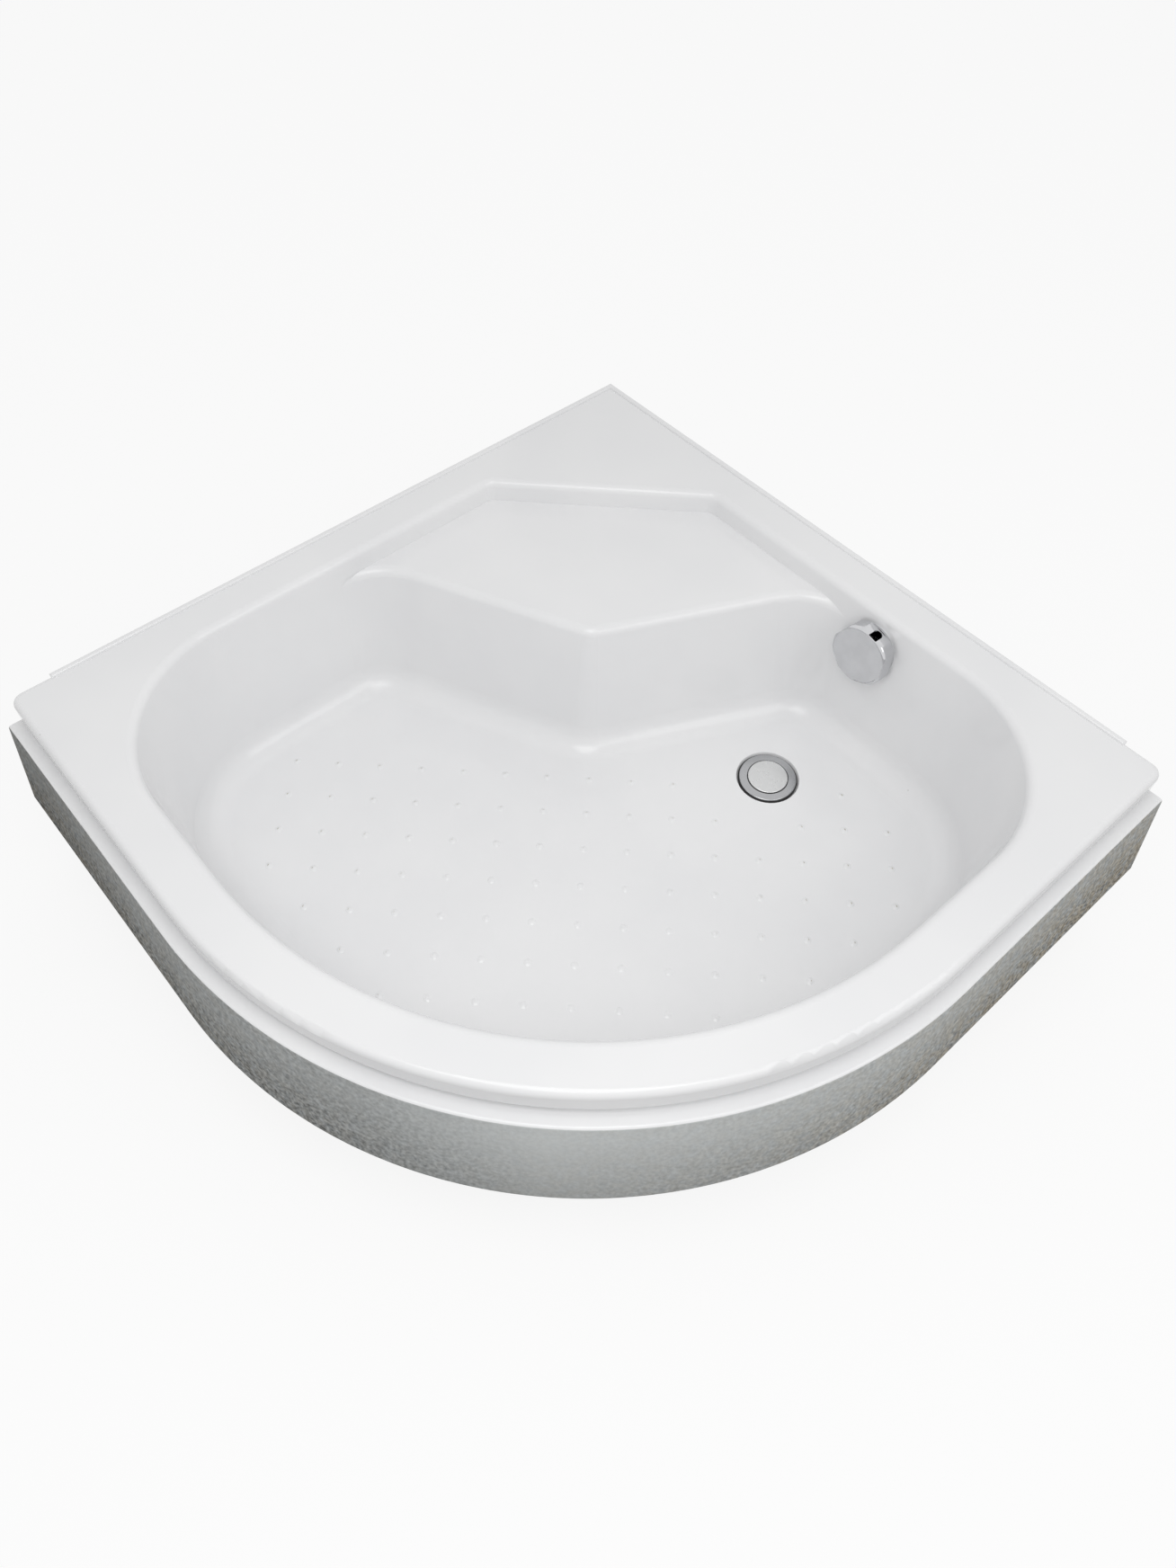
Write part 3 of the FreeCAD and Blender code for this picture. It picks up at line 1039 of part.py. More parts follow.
pipe_sleeve = cylinder("pipe_sleeve", PIPE_SLEEVE, "Sizes.sleeve_length", ("0", "-Sizes.sleeve_start"),
                       PIPE_DEPTH, *DOWN)
nipple = cylinder("nipple", "Sizes.cable_radius + Sizes.nipple_wall", "Sizes.nipple_length",
                  ("Sizes.nipple_side", "-Sizes.nipple_start"), PIPE_DEPTH, *DOWN)
hollow = cylinder("housing_hollow", HOUSING_INSIDE, f"{FLANGE_BACK} - {BUSH_TOP} - Sizes.slip_gap",
                  z=f"{BUSH_TOP} + Sizes.slip_gap")
sleeve_bore = cylinder("sleeve_bore", PIPE_BORE,
                       "Sizes.sleeve_start / 2 + Sizes.sleeve_length + Sizes.cut_past",
                       ("0", "-Sizes.sleeve_start / 2"), PIPE_DEPTH, *DOWN)
nipple_bore = cylinder("nipple_bore", CABLE_BORE, "Sizes.nipple_length + 2 * Sizes.cut_past",
                       ("Sizes.nipple_side", "Sizes.cut_past - Sizes.nipple_start"), PIPE_DEPTH, *DOWN)
keep(at_knob(cut("overflow_housing", fuse("housing_solid", [housing, pipe_sleeve, nipple]),
                 [hollow, sleeve_bore, nipple_bore])), "overflow_body")

KNOB_FACE = "Sizes.knob_reach"
UNDER = "(Sizes.knob_reach - Sizes.cap_wall)"
SPINDLE_END = f"({UNDER} - Sizes.spindle_gap)"
SPINDLE_BACK = f"({HOUSING_END} + Sizes.spindle_gap)"
DRUM_BACK = f"({BUSH_TOP} + Sizes.drum_gap)"
DRUM_FRONT = f"({DRUM_BACK} + Sizes.drum_height)"
keep(at_knob(turned("spindle", [
    ("0", SPINDLE_BACK), ("Sizes.spindle_radius", SPINDLE_BACK), ("Sizes.spindle_radius", DRUM_BACK),
    ("Sizes.drum_radius", DRUM_BACK), ("Sizes.drum_radius", DRUM_FRONT), ("Sizes.spindle_radius", DRUM_FRONT),
    ("Sizes.spindle_radius", SPINDLE_END), ("0", SPINDLE_END)])), "knob_spindle")

BOSS_SIDE = "(Sizes.spindle_radius + Sizes.boss_wall)"
SKIRT = "(Sizes.knob_radius - Sizes.knob_wall)"
knob = turned("knob", [
    ("0", UNDER), (BUSH, UNDER), (BUSH, "Sizes.knob_boss"), (BOSS_SIDE, "Sizes.knob_boss"),
    (BOSS_SIDE, UNDER), (SKIRT, UNDER), (SKIRT, "Sizes.knob_clear"),
    ("Sizes.knob_radius", "Sizes.knob_clear"), ("Sizes.knob_radius", KNOB_FACE), ("0", KNOB_FACE)])
rounded(knob, "knob_edge", "Sizes.knob_round", circle_at(S["knob_radius"], S["knob_reach"]))
facet_tools = []
FACETS = round(S["facet_count"])
for i in range(FACETS):
    facet = box(f"facet_{i + 1}", "Sizes.knob_radius", "2 * Sizes.knob_radius",
                f"{KNOB_FACE} + 2 * Sizes.cut_past",
                ("Sizes.knob_radius - Sizes.facet_depth", "-Sizes.knob_radius", "-Sizes.cut_past"))
    held = group(f"facet_at_{i + 1}", [facet])
    facet_tools.append(place(held, axis=(0, 0, 1), angle=S["facet_turn"] + 360.0 * i / FACETS))
INLET = "Sizes.inlet_width / 2"
INLET_LOW = f"(Sizes.inlet_clear + {INLET})"
INLET_IN = "Sizes.knob_radius - Sizes.inlet_depth"
slot = box("inlet_slot", "Sizes.knob_radius", "Sizes.inlet_width", "Sizes.inlet_run",
           (INLET_IN, f"-{INLET}", INLET_LOW))
slot_end = cylinder("inlet_end", INLET, "Sizes.knob_radius", (INLET_IN, "0"), INLET_LOW, *ALONG_X)
inlet = group("inlet_at", [fuse("inlet_cut", [slot, slot_end])])
facet_tools.append(place(inlet, axis=(0, 0, 1), angle=S["facet_turn"]))
keep(at_knob(cut("knob_cap", knob, facet_tools)), "overflow_knob")


def bent_path(spots, radii):
    """Wire through the spots, with an arc at each inner spot."""
    edges = []
    start = spots[0]
    for i in range(1, len(spots) - 1):
        here = spots[i]
        to_last = (start - here).normalize()
        to_next = (spots[i + 1] - here).normalize()
        half = to_last.getAngle(to_next) / 2
        bisector = (to_last + to_next).normalize()
        setback = radii[i - 1] / math.tan(half)
        middle = here + bisector * (radii[i - 1] / math.sin(half) - radii[i - 1])
        edges.append(Part.LineSegment(start, here + to_last * setback).toShape())
        edges.append(Part.Arc(here + to_last * setback, middle, here + to_next * setback).toShape())
        start = here + to_next * setback
    edges.append(Part.LineSegment(start, spots[-1]).toShape())
    return Part.Wire(edges)


def swept(path_wire, radius):
    start = path_wire.Edges[0].firstVertex().Point
    heading = (path_wire.Edges[0].lastVertex().Point - start).normalize()
    circle = Part.Wire(Part.makeCircle(radius, start, heading))
    return path_wire.makePipeShell([circle], True, False)


# Overflow pipe with its union nuts, and the cable sheath from the housing to the trap.
pipe_heading = Rotation(Vector(0, 0, 1), -pipe_angle).multVec(Vector(0, 1, 0))
pipe_end = Vector(drain_x, drain_y, overflow_z) + pipe_heading * (S["socket_reach"] - S["pipe_depth"])
pipe_path = bent_path([pipe_top, pipe_corner, pipe_end], [S["pipe_bend"]])
pipe_solid = swept(pipe_path, S["pipe_radius"]).cut(swept(pipe_path, S["pipe_radius"] - S["pipe_wall"]))
keep(solid("overflow_tube", pipe_solid), "overflow_pipe")

upper_nut = union_nut("pipe_nut_upper", "Sizes.pipe_radius", PIPE_SLEEVE, "Sizes.sleeve_length",
                      "Sizes.pipe_collar", "Sizes.pipe_skirt")
place(upper_nut, ("0", "-Sizes.sleeve_start"), PIPE_DEPTH, *DOWN)
upper_held = group("pipe_nut_upper_turned", [upper_nut])
lower_nut = union_nut("pipe_nut_lower", "Sizes.pipe_radius", PIPE_SLEEVE, "Sizes.socket_reach",
                      "Sizes.pipe_collar", "Sizes.pipe_skirt")
keep(group("pipe_nut_pair", [at_knob(upper_held), lying(lower_nut, pipe_angle, DRAIN, OVERFLOW_Z)]),
     "pipe_nuts")

guide_foot = Vector(drain_x, drain_y, number(GUIDE_Z))
cable_foot = Vector(drain_x, drain_y, cable_z)
cable_path = bent_path([guide_foot, cable_foot, cable_corner, cable_start],
                       [S["cable_turn"], S["cable_bend"]])
keep(solid("sheath", swept(cable_path, S["cable_radius"])), "cable_sheath")

doc.recompute()
for obj in doc.Objects:
    if "Invalid" in obj.State or "Error" in obj.State:
        raise RuntimeError(f"{obj.Label} did not build: {obj.State}")
for obj in pieces:
    shape = obj.Shape
    if shape.isNull() or not shape.isValid() or not shape.Solids:
        raise RuntimeError(f"{obj.Label} has no valid solid")

os.makedirs("parts", exist_ok=True)
for obj in pieces:
    obj.Shape.exportStep(f"parts/{obj.Label}.step")
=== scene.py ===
"""Looks of the deep quadrant shower tray.

White sanitary acrylic on a fibreglass backing, an apron with a matt face painted grey with shade and a
ground's reflection, polished chrome at the drain and the overflow, and the plain materials of the support
frame, on a pale floor under soft studio light.
"""
import json
import math

import bpy
from mathutils import Matrix, Vector

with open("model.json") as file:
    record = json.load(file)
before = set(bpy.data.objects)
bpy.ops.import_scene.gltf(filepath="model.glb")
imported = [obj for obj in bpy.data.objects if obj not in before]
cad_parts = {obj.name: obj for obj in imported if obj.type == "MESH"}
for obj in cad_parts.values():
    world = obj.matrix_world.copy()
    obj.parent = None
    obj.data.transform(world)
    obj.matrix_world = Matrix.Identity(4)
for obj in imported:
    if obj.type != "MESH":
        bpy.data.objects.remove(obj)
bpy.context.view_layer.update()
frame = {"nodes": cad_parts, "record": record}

CAMERA_PLACE = Vector((0.5430, -0.4922, 1.2450))
CAMERA_TARGET = Vector((-0.0598, 0.0706, 0.1000))
CAMERA_ROLL = math.radians(2.06)
CAMERA_LENS = 25.52
CAMERA_SENSOR = 36.0
CAMERA_REACH = 100.0

FLOOR_SIZE = 16.0
FLOOR_DROP = 0.0005
FLOOR_TONE = 0.9
FLOOR_BOUNCE = 0.5
FLOOR_GLOW = 0.85
WORLD_STRENGTH = 0.64

# Each lamp's name, place, target, side of its square in metres and power in watts.
LAMPS = (
    ("overhead_front", (0.45, -0.45, 1.9), (0.45, -0.45, 0.0), 1.0, 5.2),
    ("close_front", (0.45, -0.45, 1.3), (0.45, -0.45, 0.0), 0.8, 1.9),
    ("side_right", (1.7, 0.3, 1.9), (0.0, 0.0, 0.2), 1.2, 5.6),
)

# Places in metres that the patterns are measured from.
BASIN_MIDDLE = (0.1335, -0.1335, 0.0)
FRONT_ARC_MIDDLE = (-0.1165, 0.1165, 0.0)
ALONG_FRONT = (0.7071, 0.7071, 0.0)
FRONT_HALF_WIDTH = 0.65
UP = (0.0, 0.0, 1.0)
FLOOR_LEVEL = 0.086
LIP_FOOT = 0.2605
LIP_EDGE = 0.266
LIP_REACH = 0.010
LEDGE_LEVEL = 0.2485
# The next two heights are where the painted shade and the painted reflection speckle on the apron's face
# start, above the knee.
SHADE_TOP = 0.230
SPECKLE_TOP = 0.215
KNEE_LEVEL = 0.125

# Widths of the patterns in metres, one for each axis where a pattern is drawn out, and the turns of those.
STRAND_SIZE = (0.030, 0.0018, 0.0018)
STRAND_TURNS = ((0.3, 0.9, 0.2), (1.2, 0.1, 1.0), (0.5, 1.9, 2.2), (2.1, 0.7, 2.9))
CLOUD_WIDTH = 0.18
DUST_SPACING = 0.055
WIPE_SIZE = (0.060, 0.016, 0.030)
WIPE_TURN = (0.2, 0.1, 0.8)
WAVE_WIDTH = 0.022
# The next two widths are of the speckle and the patches painted on the apron's face as a reflection of a
# rough ground.
REFLECTION_SPECKLE_WIDTH = 0.0045
REFLECTION_PATCH_WIDTH = 0.011
SMUDGE_WIDTH = 0.018
POLISH_SIZE = (0.025, 0.0012, 0.0012)
POLISH_TURN = (0.4, 0.3, 0.6)
CRYSTAL_WIDTH = 0.0028
ZINC_CLOUD = 0.006
ZINC_GRAIN = 0.0007
RUB_SIZE = (0.050, 0.012, 0.012)
RUB_TURN = (0.0, 0.0, 0.785)
PEEL_WIDTH = 0.0016
FLAKE_SIZE = (0.0075, 0.0022, 0.0022)
FLAKE_TURN = (0.2, 0.1, 0.5)
CHIP_SIZE = (0.0020, 0.0060, 0.0020)
CHIP_TURN = (0.1, 0.3, 0.2)
BOARD_CLOUD = 0.02
MOULDED_CLOUD = 0.025
MOULDED_GLOSS = 0.008
NO_TURN = (0.0, 0.0, 0.0)

# Radius of a speck of dust in shares of the spacing, where it starts and where it is full.
DUST_EDGE = 0.014
DUST_CORE = 0.008

# Depths of the relief in metres.
ACRYLIC_DEPTH = 0.0004
CHROME_DEPTH = 0.000002
ZINC_DEPTH = 0.00002
POWDER_DEPTH = 0.00009
CHIPBOARD_DEPTH = 0.0003
MOULDED_DEPTH = 0.00006

# The apron's face along the front: places from 0 at the left end to 1 at the right, each with its value: the
# painted shade, darker towards the ends, and the speckle and brown patches of a painted reflection of a dark,
# rough ground.
FACE_PAINTED_SHADE = ((0.05, 0.27), (0.15, 0.35), (0.36, 0.39), (0.50, 0.54), (0.66, 0.49), (0.95, 0.41))
FACE_REFLECTION_SPECKLE = ((0.05, 1.0), (0.32, 0.70), (0.50, 0.14), (0.68, 0.36), (0.95, 1.0))
FACE_REFLECTION_WARMTH = ((0.05, 0.55), (0.42, 0.08), (0.65, 0.20), (0.95, 1.0))

BLACK = (0.0, 0.0, 0.0)
# Tints of the painted reflection of the ground on the apron's face.
REFLECTED_GROUND_TINT = (0.965, 1.0, 1.0)
REFLECTED_WARM_GROUND_TINT = (1.0, 0.92, 0.77)
SHEET_DARK = (0.838, 0.840, 0.848)
SHEET_LIGHT = (0.866, 0.867, 0.872)
DUST = (0.42, 0.40, 0.38)
ZINC = (0.56, 0.57, 0.58)

# Sockets of the mix node that carry colours.
MIX_FIRST = 6
MIX_SECOND = 7
MIX_RESULT = 2


class Look:
    """A material while it is made: its shader, and short ways to the few kinds of node used here."""

    def __init__(self, name, colour, roughness, **values):
        self.material = bpy.data.materials.new(name)
        self.material.use_nodes = True
        self.nodes = self.material.node_tree.nodes
        self.links = self.material.node_tree.links
        self.shader = self.nodes["Principled BSDF"]
        self.shader.inputs["Base Color"].default_value = (*colour, 1.0)
        self.shader.inputs["Roughness"].default_value = roughness
        for socket, value in values.items():
            self.shader.inputs[socket.replace("_", " ")].default_value = value
        coords = self.nodes.new("ShaderNodeTexCoord")
        self.place = coords.outputs["Object"]
        self.normal = coords.outputs["Normal"]

    def feed(self, socket, value):
        """Join a node's output to a socket, or set a number, a direction or a colour on it."""
        if isinstance(value, bpy.types.NodeSocket):
            self.links.new(value, socket)
        elif socket.type == "RGBA":
            socket.default_value = (*value, 1.0)
        else:
            socket.default_value = value

    def calc(self, operation, first, second):
        """Sum, product or other result of two numbers."""
        made = self.nodes.new("ShaderNodeMath")
        made.operation = operation
        self.feed(made.inputs[0], first)
        self.feed(made.inputs[1], second)
        return made.outputs["Value"]

    def vector(self, operation, first, second):
        """Result of two directions or places, which is a number for a dot product."""
        made = self.nodes.new("ShaderNodeVectorMath")
        made.operation = operation
        self.feed(made.inputs[0], first)
        self.feed(made.inputs[1], second)
        return made.outputs["Value" if operation == "DOT_PRODUCT" else "Vector"]

    def span(self, value, low, high, to_low=0.0, to_high=1.0):
        """Carry a value from one range to another, and hold it there."""
        made = self.nodes.new("ShaderNodeMapRange")
        self.feed(made.inputs["Value"], value)
        made.inputs["From Min"].default_value = low
        made.inputs["From Max"].default_value = high
        made.inputs["To Min"].default_value = to_low
        made.inputs["To Max"].default_value = to_high
        return made.outputs["Result"]

    def ramp(self, value, *stops):
        """Colour for a value, from stops of a position and a colour."""
        made = self.nodes.new("ShaderNodeValToRGB")
        elements = made.color_ramp.elements
        elements.remove(elements[1])
        elements[0].position, first_colour = stops[0]
        elements[0].color = (*first_colour, 1.0)
        for position, colour in stops[1:]:
            elements.new(position).color = (*colour, 1.0)
        self.feed(made.inputs["Fac"], value)
        return made.outputs["Color"]

    def greys(self, value, stops):
        """Ramp of grey tones, from stops of a position and a tone."""
        return self.ramp(value, *[(position, (tone, tone, tone)) for position, tone in stops])

    def mix(self, factor, first, second):
        """Colour between two others."""
        made = self.nodes.new("ShaderNodeMix")
        made.data_type = "RGBA"
        self.feed(made.inputs[0], factor)
        self.feed(made.inputs[MIX_FIRST], first)
        self.feed(made.inputs[MIX_SECOND], second)
        return made.outputs[MIX_RESULT]

    def spread(self, width, turn):
        """Place on the piece, counted in patches of one width in metres, or of a width per turned axis."""
        made = self.nodes.new("ShaderNodeMapping")
        made.vector_type = "TEXTURE"
        made.inputs["Rotation"].default_value = turn
        made.inputs["Scale"].default_value = width if isinstance(width, tuple) else (width, width, width)
        self.links.new(self.place, made.inputs["Vector"])
        return made.outputs["Vector"]

    def noise(self, width, detail=2.0, turn=NO_TURN):
        """Soft random value around one half."""
        made = self.nodes.new("ShaderNodeTexNoise")
        made.inputs["Scale"].default_value = 1.0
        made.inputs["Detail"].default_value = detail
        self.links.new(self.spread(width, turn), made.inputs["Vector"])
        return made.outputs["Fac"]

    def cells(self, width, turn=NO_TURN):
        """Random value for each cell of a loose honeycomb, and the distance from the cell's middle."""
        made = self.nodes.new("ShaderNodeTexVoronoi")
        made.inputs["Scale"].default_value = 1.0
        self.links.new(self.spread(width, turn), made.inputs["Vector"])
        split = self.nodes.new("ShaderNodeSeparateColor")
        self.links.new(made.outputs["Color"], split.inputs["Color"])
        return split.outputs["Red"], made.outputs["Distance"]

    def height(self):
        """Height above the ground in metres."""
        return self.vector("DOT_PRODUCT", self.place, UP)

    def facing_up(self):
        """1 where the surface faces up, and -1 where it faces down."""
        return self.vector("DOT_PRODUCT", self.normal, UP)

    def facing_away(self, middle):
        """Positive where the surface faces away from an upright line through the middle."""
        away = self.vector("SUBTRACT", self.place, middle)
        level = self.vector("MULTIPLY", away, (1.0, 1.0, 0.0))
        return self.vector("DOT_PRODUCT", level, self.normal)

    def finish(self, colour, roughness, relief, depth):
        """Join the patterns to the shader; the depth is what a relief of 1 stands proud by, in metres."""
        self.feed(self.shader.inputs["Base Color"], colour)
        self.feed(self.shader.inputs["Roughness"], roughness)
        bump = self.nodes.new("ShaderNodeBump")
        bump.inputs["Distance"].default_value = depth
        self.links.new(relief, bump.inputs["Height"])
        self.links.new(bump.outputs["Normal"], self.shader.inputs["Normal"])
        return self.material


def fibre_mat(look):
    """Short glass strands rolled into resin: their relief and their colour."""
    strands = look.noise(STRAND_SIZE, 1.0, STRAND_TURNS[0])
    for turn in STRAND_TURNS[1:]:
        strands = look.calc("MAXIMUM", strands, look.noise(STRAND_SIZE, 1.0, turn))
    colour = look.ramp(strands, (0.50, (0.40, 0.38, 0.31)), (0.64, (0.54, 0.52, 0.44)),
                       (0.78, (0.66, 0.65, 0.58)))
    return strands, colour


def gloss_sheet(look):
    """Formed acrylic sheet: faint clouds, a rare speck of dust, wiped patches and a slight waviness."""
    sheet = look.ramp(look.noise(CLOUD_WIDTH, 3.0), (0.35, SHEET_DARK), (0.62, SHEET_LIGHT))
    chance, reach = look.cells(DUST_SPACING)
    rare = look.calc("GREATER_THAN", chance, 0.74)
    speck = look.calc("MULTIPLY", look.span(reach, DUST_EDGE, DUST_CORE), rare)
    colour = look.mix(speck, sheet, DUST)
    wiped = look.noise(WIPE_SIZE, 4.0, WIPE_TURN)
    roughness = look.span(wiped, 0.36, 0.68, 0.08, 0.20)
    wave = look.calc("MULTIPLY", look.noise(WAVE_WIDTH, 2.0), 0.2)
    return colour, roughness, wave


def acrylic_shell():
    """White gloss inside the basin and on the rim; bare fibreglass outside the basin and under the floor."""
    look = Look("acrylic_white", (0.86, 0.862, 0.868), 0.12)
    colour, roughness, wave = gloss_sheet(look)
    strands, mat = fibre_mat(look)
    height = look.height()
    below_lip = look.calc("LESS_THAN", height, LIP_FOOT)
    above_floor = look.calc("GREATER_THAN", height, FLOOR_LEVEL)
    outer = look.span(look.facing_away(BASIN_MIDDLE), 0.02, 0.05)
    outer = look.calc("MULTIPLY", outer, look.calc("MULTIPLY", below_lip, above_floor))
    from_lip = look.calc("ABSOLUTE", look.calc("SUBTRACT", height, LIP_EDGE), 0.0)
    off_lip = look.calc("GREATER_THAN", from_lip, LIP_REACH)
    under = look.calc("MULTIPLY", look.span(look.facing_up(), -0.25, -0.45), off_lip)
    back = look.calc("MAXIMUM", outer, under)
    relief = look.calc("ADD", wave, look.calc("MULTIPLY", strands, back))
    roughness = look.calc("ADD", roughness, look.calc("MULTIPLY", back, 0.5))
    return look.finish(look.mix(back, colour, mat), roughness, relief, ACRYLIC_DEPTH)


def acrylic_apron_painted_shade():
    """White gloss ledge over a matt face painted grey with shade and with a speckled, partly brown reflection
    of a dark ground, darker towards the ends and the foot.
    """
    look = Look("acrylic_apron_painted_shade", (0.5, 0.5, 0.49), 0.25, Specular_IOR_Level=0.0, Coat_Roughness=0.12)
    colour, roughness, wave = gloss_sheet(look)
    strands, mat = fibre_mat(look)
    height = look.height()
    along = look.vector("DOT_PRODUCT", look.place, ALONG_FRONT)
    across = look.span(along, -FRONT_HALF_WIDTH, FRONT_HALF_WIDTH)
    # Painted shade: the face's grey tones along the front, darker towards the ends, and darker towards the
    # foot.
    shade = look.span(height, SHADE_TOP, KNEE_LEVEL, 1.20, 0.80)
    tone = look.calc("MULTIPLY", look.greys(across, FACE_PAINTED_SHADE), shade)
    # Painted reflection of a rough ground: a speckle that is strongest at the ends and near the foot.
    lower_part = look.span(height, SPECKLE_TOP, KNEE_LEVEL, 0.60, 1.55)
    coarse = look.calc("MULTIPLY", look.greys(across, FACE_REFLECTION_SPECKLE), lower_part)
    grain = look.span(look.noise(REFLECTION_SPECKLE_WIDTH, 5.0), 0.28, 0.72, -0.6, 0.6)
    reflection_speckle = look.calc("ADD", look.calc("MULTIPLY", grain, coarse), 1.0)
    value = look.calc("MULTIPLY", tone, reflection_speckle)
    # The painted face in the neutral and in the warm tint of the reflected ground.
    grey_reflection = look.ramp(value, (0.0, BLACK), (1.0, REFLECTED_GROUND_TINT))
    warm_reflection = look.ramp(value, (0.0, BLACK), (1.0, REFLECTED_WARM_GROUND_TINT))
    # Brown patches of the painted ground reflection, strongest at the ends and near the foot.
    patches = look.calc("MULTIPLY", look.span(look.noise(REFLECTION_PATCH_WIDTH, 3.0), 0.36, 0.60), lower_part)
    brown = look.calc("MULTIPLY", patches, look.greys(across, FACE_REFLECTION_WARMTH))
    face_colour = look.mix(brown, grey_reflection, warm_reflection)
    away = look.facing_away(FRONT_ARC_MIDDLE)
    face = look.calc("MULTIPLY", look.span(away, 0.25, 0.42), look.calc("LESS_THAN", height, LEDGE_LEVEL))
    back = look.calc("MAXIMUM", look.span(away, -0.12, -0.25), look.span(look.facing_up(), -0.3, -0.5))
    matt = look.calc("MAXIMUM", face, back)
    colour = look.mix(back, look.mix(face, colour, face_colour), mat)
    roughness = look.calc("ADD", roughness, look.calc("MULTIPLY", matt, 0.3))
    look.feed(look.shader.inputs["Coat Weight"], look.calc("SUBTRACT", 1.0, matt))
    relief = look.calc("ADD", wave, look.calc("MULTIPLY", strands, back))
    return look.finish(colour, roughness, relief, ACRYLIC_DEPTH)


def chrome(name, colour, roughness):
    """Plated metal with faint smudges and polishing lines."""
    look = Look(name, colour, roughness, Metallic=1.0)
    smudge = look.noise(SMUDGE_WIDTH, 3.0)
    dull = tuple(0.93 * part for part in colour)
    tint = look.ramp(smudge, (0.35, dull), (0.65, colour))
    gloss = look.span(smudge, 0.32, 0.70, 0.7 * roughness, 1.7 * roughness)
    return look.finish(tint, gloss, look.noise(POLISH_SIZE, 1.0, POLISH_TURN), CHROME_DEPTH)


def zinc():
    """Zinc plated steel with small crystal patches."""
    look = Look("steel_zinc", ZINC, 0.32, Metallic=1.0)
    patch, _ = look.cells(CRYSTAL_WIDTH)
    tint = look.ramp(patch, (0.0, (0.46, 0.47, 0.47)), (0.6, ZINC), (1.0, (0.64, 0.64, 0.62)))
    gloss = look.span(look.noise(ZINC_CLOUD, 4.0), 0.3, 0.7, 0.22, 0.44)
    return look.finish(tint, gloss, look.noise(ZINC_GRAIN, 2.0), ZINC_DEPTH)


def powder_coat():
    """Grey powder coat with an orange-peel skin and rubbed patches."""
    look = Look("steel_powder_coat", (0.36, 0.37, 0.39), 0.45)
    rubbed = look.noise(RUB_SIZE, 5.0, RUB_TURN)
    tint = look.ramp(rubbed, (0.38, (0.33, 0.34, 0.36)), (0.60, (0.37, 0.38, 0.40)),
                     (0.74, (0.44, 0.45, 0.46)))
    gloss = look.span(rubbed, 0.35, 0.70, 0.55, 0.36)
    return look.finish(tint, gloss, look.noise(PEEL_WIDTH, 2.0), POWDER_DEPTH)


def chipboard():
    """Pressed wood flakes of mixed browns."""
    look = Look("chipboard", (0.50, 0.36, 0.20), 0.8)
    flake, _ = look.cells(FLAKE_SIZE, FLAKE_TURN)
    chip, _ = look.cells(CHIP_SIZE, CHIP_TURN)
    both = look.calc("MULTIPLY", look.calc("ADD", flake, chip), 0.5)
    wood = look.ramp(both, (0.10, (0.23, 0.13, 0.06)), (0.38, (0.42, 0.28, 0.14)), (0.62, (0.55, 0.40, 0.23)),
                     (0.92, (0.68, 0.54, 0.36)))
    gloss = look.span(look.noise(BOARD_CLOUD, 3.0), 0.3, 0.7, 0.7, 0.9)
    return look.finish(wood, gloss, both, CHIPBOARD_DEPTH)


def moulded(name, dark, light, roughness, grain):
    """Moulded rubber or plastic: slight patches of tone, a satin grain and uneven gloss."""
    look = Look(name, light, roughness)
    tint = look.ramp(look.noise(MOULDED_CLOUD, 4.0), (0.35, dark), (0.65, light))
    gloss = look.span(look.noise(MOULDED_GLOSS, 4.0), 0.32, 0.68, 0.82 * roughness, 1.2 * roughness)
    return look.finish(tint, gloss, look.noise(grain, 2.0), MOULDED_DEPTH)


BY_SLOT = {
    "acrylic": acrylic_shell(),
    "chrome": chrome("chrome_polished", (0.64, 0.645, 0.66), 0.07),
    "steel": zinc(),
    "frame": powder_coat(),
    "board": chipboard(),
    "rubber": moulded("rubber_black", (0.014, 0.014, 0.014), (0.028, 0.028, 0.027), 0.62, 0.0009),
    "trap": moulded("plastic_white", (0.66, 0.655, 0.63), (0.76, 0.76, 0.74), 0.38, 0.0012),
    "foot": moulded("plastic_black", (0.018, 0.018, 0.019), (0.036, 0.036, 0.038), 0.48, 0.0010),
}
# Pieces that look different from the rest of their slot.
BY_NODE = {
    "apron_panel": acrylic_apron_painted_shade(),
    "drain_flange": chrome("chrome_flange", (0.44, 0.445, 0.455), 0.12),
    "drain_plug": chrome("chrome_satin", (0.68, 0.685, 0.685), 0.20),
}

for entry in frame["record"]["subparts"]:
    name = entry["node"]
    node = frame["nodes"][name]
    node.data.materials.clear()
    node.data.materials.append(BY_NODE.get(name, BY_SLOT[entry["material_slot"]]))


def area_light(name, place, target, size, power):
    """Soft square lamp, which lights the scene without being seen itself."""
    lamp = bpy.data.lights.new(name, "AREA")
    lamp.shape = "SQUARE"
    lamp.size = size
    lamp.energy = power
    holder = bpy.data.objects.new(name, lamp)
    bpy.context.scene.collection.objects.link(holder)
    holder.location = place
    holder.rotation_euler = (Vector(target) - Vector(place)).to_track_quat("-Z", "Y").to_euler()
    holder.visible_camera = False


def seen_directly(tree):
    """Socket that is 1 for what the camera sees, straight or in a mirror or glass."""
    path = tree.nodes.new("ShaderNodeLightPath")
    total = path.outputs["Is Camera Ray"]
    for output in ("Is Glossy Ray", "Is Transmission Ray"):
        either = tree.nodes.new("ShaderNodeMath")
        either.operation = "MAXIMUM"
        tree.links.new(total, either.inputs[0])
        tree.links.new(path.outputs[output], either.inputs[1])
        total = either.outputs["Value"]
    return total


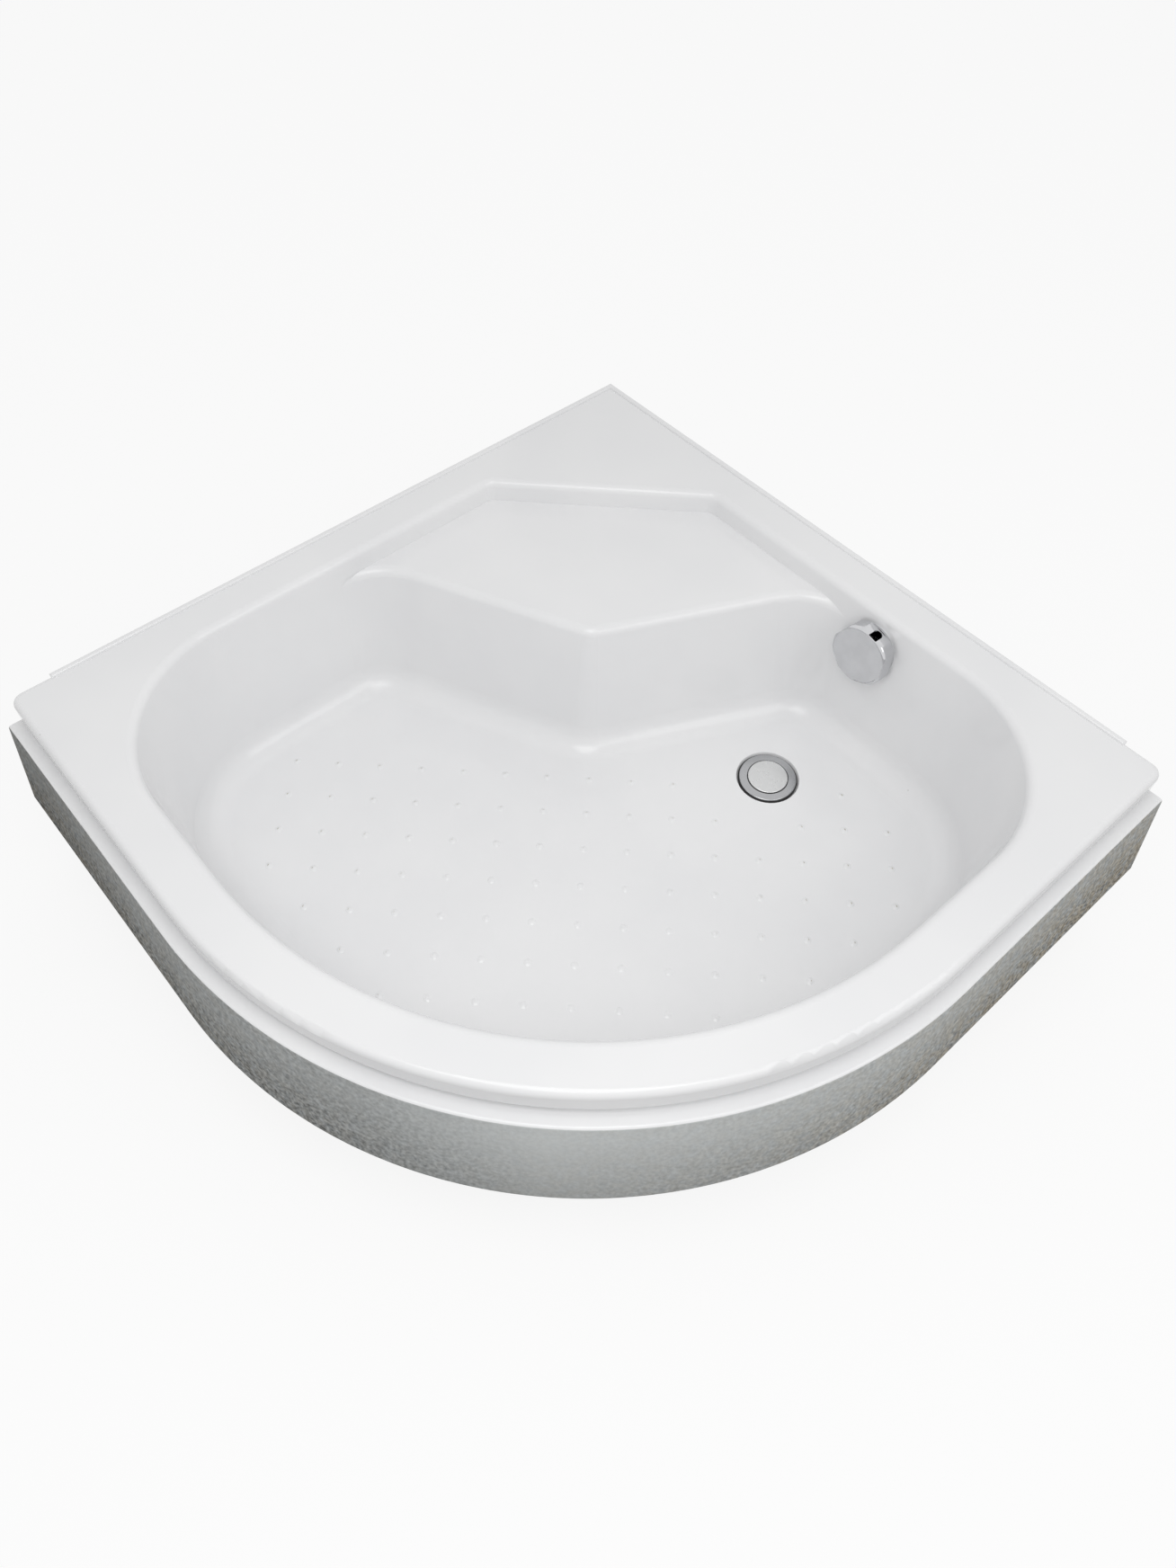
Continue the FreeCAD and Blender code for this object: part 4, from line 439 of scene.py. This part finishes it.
def make_floor():
    """Pale floor that looks white and keeps a soft shadow."""
    bpy.ops.mesh.primitive_plane_add(size=FLOOR_SIZE, location=(0.0, 0.0, -FLOOR_DROP))
    floor = bpy.context.object
    floor.name = "floor"
    made = bpy.data.materials.new("floor_white")
    made.use_nodes = True
    tree = made.node_tree
    tree.nodes.clear()
    out = tree.nodes.new("ShaderNodeOutputMaterial")
    bounce = tree.nodes.new("ShaderNodeBsdfDiffuse")
    bounce.inputs["Color"].default_value = (FLOOR_BOUNCE, FLOOR_BOUNCE, FLOOR_BOUNCE, 1.0)
    matt = tree.nodes.new("ShaderNodeBsdfDiffuse")
    matt.inputs["Color"].default_value = (FLOOR_TONE, FLOOR_TONE, FLOOR_TONE, 1.0)
    glow = tree.nodes.new("ShaderNodeEmission")
    glow.inputs["Strength"].default_value = 1.0
    white = tree.nodes.new("ShaderNodeMixShader")
    white.inputs["Fac"].default_value = FLOOR_GLOW
    mix = tree.nodes.new("ShaderNodeMixShader")
    tree.links.new(matt.outputs["BSDF"], white.inputs[1])
    tree.links.new(glow.outputs["Emission"], white.inputs[2])
    tree.links.new(seen_directly(tree), mix.inputs["Fac"])
    tree.links.new(bounce.outputs["BSDF"], mix.inputs[1])
    tree.links.new(white.outputs["Shader"], mix.inputs[2])
    tree.links.new(mix.outputs["Shader"], out.inputs["Surface"])
    floor.data.materials.append(made)


def make_world():
    """Even soft light, white where it is seen."""
    world = bpy.data.worlds.new("studio")
    bpy.context.scene.world = world
    world.use_nodes = True
    tree = world.node_tree
    background = tree.nodes["Background"]
    background.inputs["Color"].default_value = (1.0, 1.0, 1.0, 1.0)
    strength = tree.nodes.new("ShaderNodeMapRange")
    strength.inputs["To Min"].default_value = WORLD_STRENGTH
    strength.inputs["To Max"].default_value = 1.0
    tree.links.new(seen_directly(tree), strength.inputs["Value"])
    tree.links.new(strength.outputs["Result"], background.inputs["Strength"])


def make_camera():
    """Camera that looks down on the tray from the front."""
    data = bpy.data.cameras.new("camera")
    data.lens = CAMERA_LENS
    data.sensor_width = CAMERA_SENSOR
    data.sensor_fit = "AUTO"
    data.clip_end = CAMERA_REACH
    holder = bpy.data.objects.new("camera", data)
    bpy.context.scene.collection.objects.link(holder)
    aim = (CAMERA_TARGET - CAMERA_PLACE).to_track_quat("-Z", "Y").to_matrix().to_4x4()
    holder.matrix_world = Matrix.Translation(CAMERA_PLACE) @ aim @ Matrix.Rotation(CAMERA_ROLL, 4, "Z")
    bpy.context.scene.camera = holder


make_floor()
make_world()
for lamp_name, place, target, size, power in LAMPS:
    area_light(lamp_name, place, target, size, power)
make_camera()
bpy.context.scene.view_settings.view_transform = "Standard"
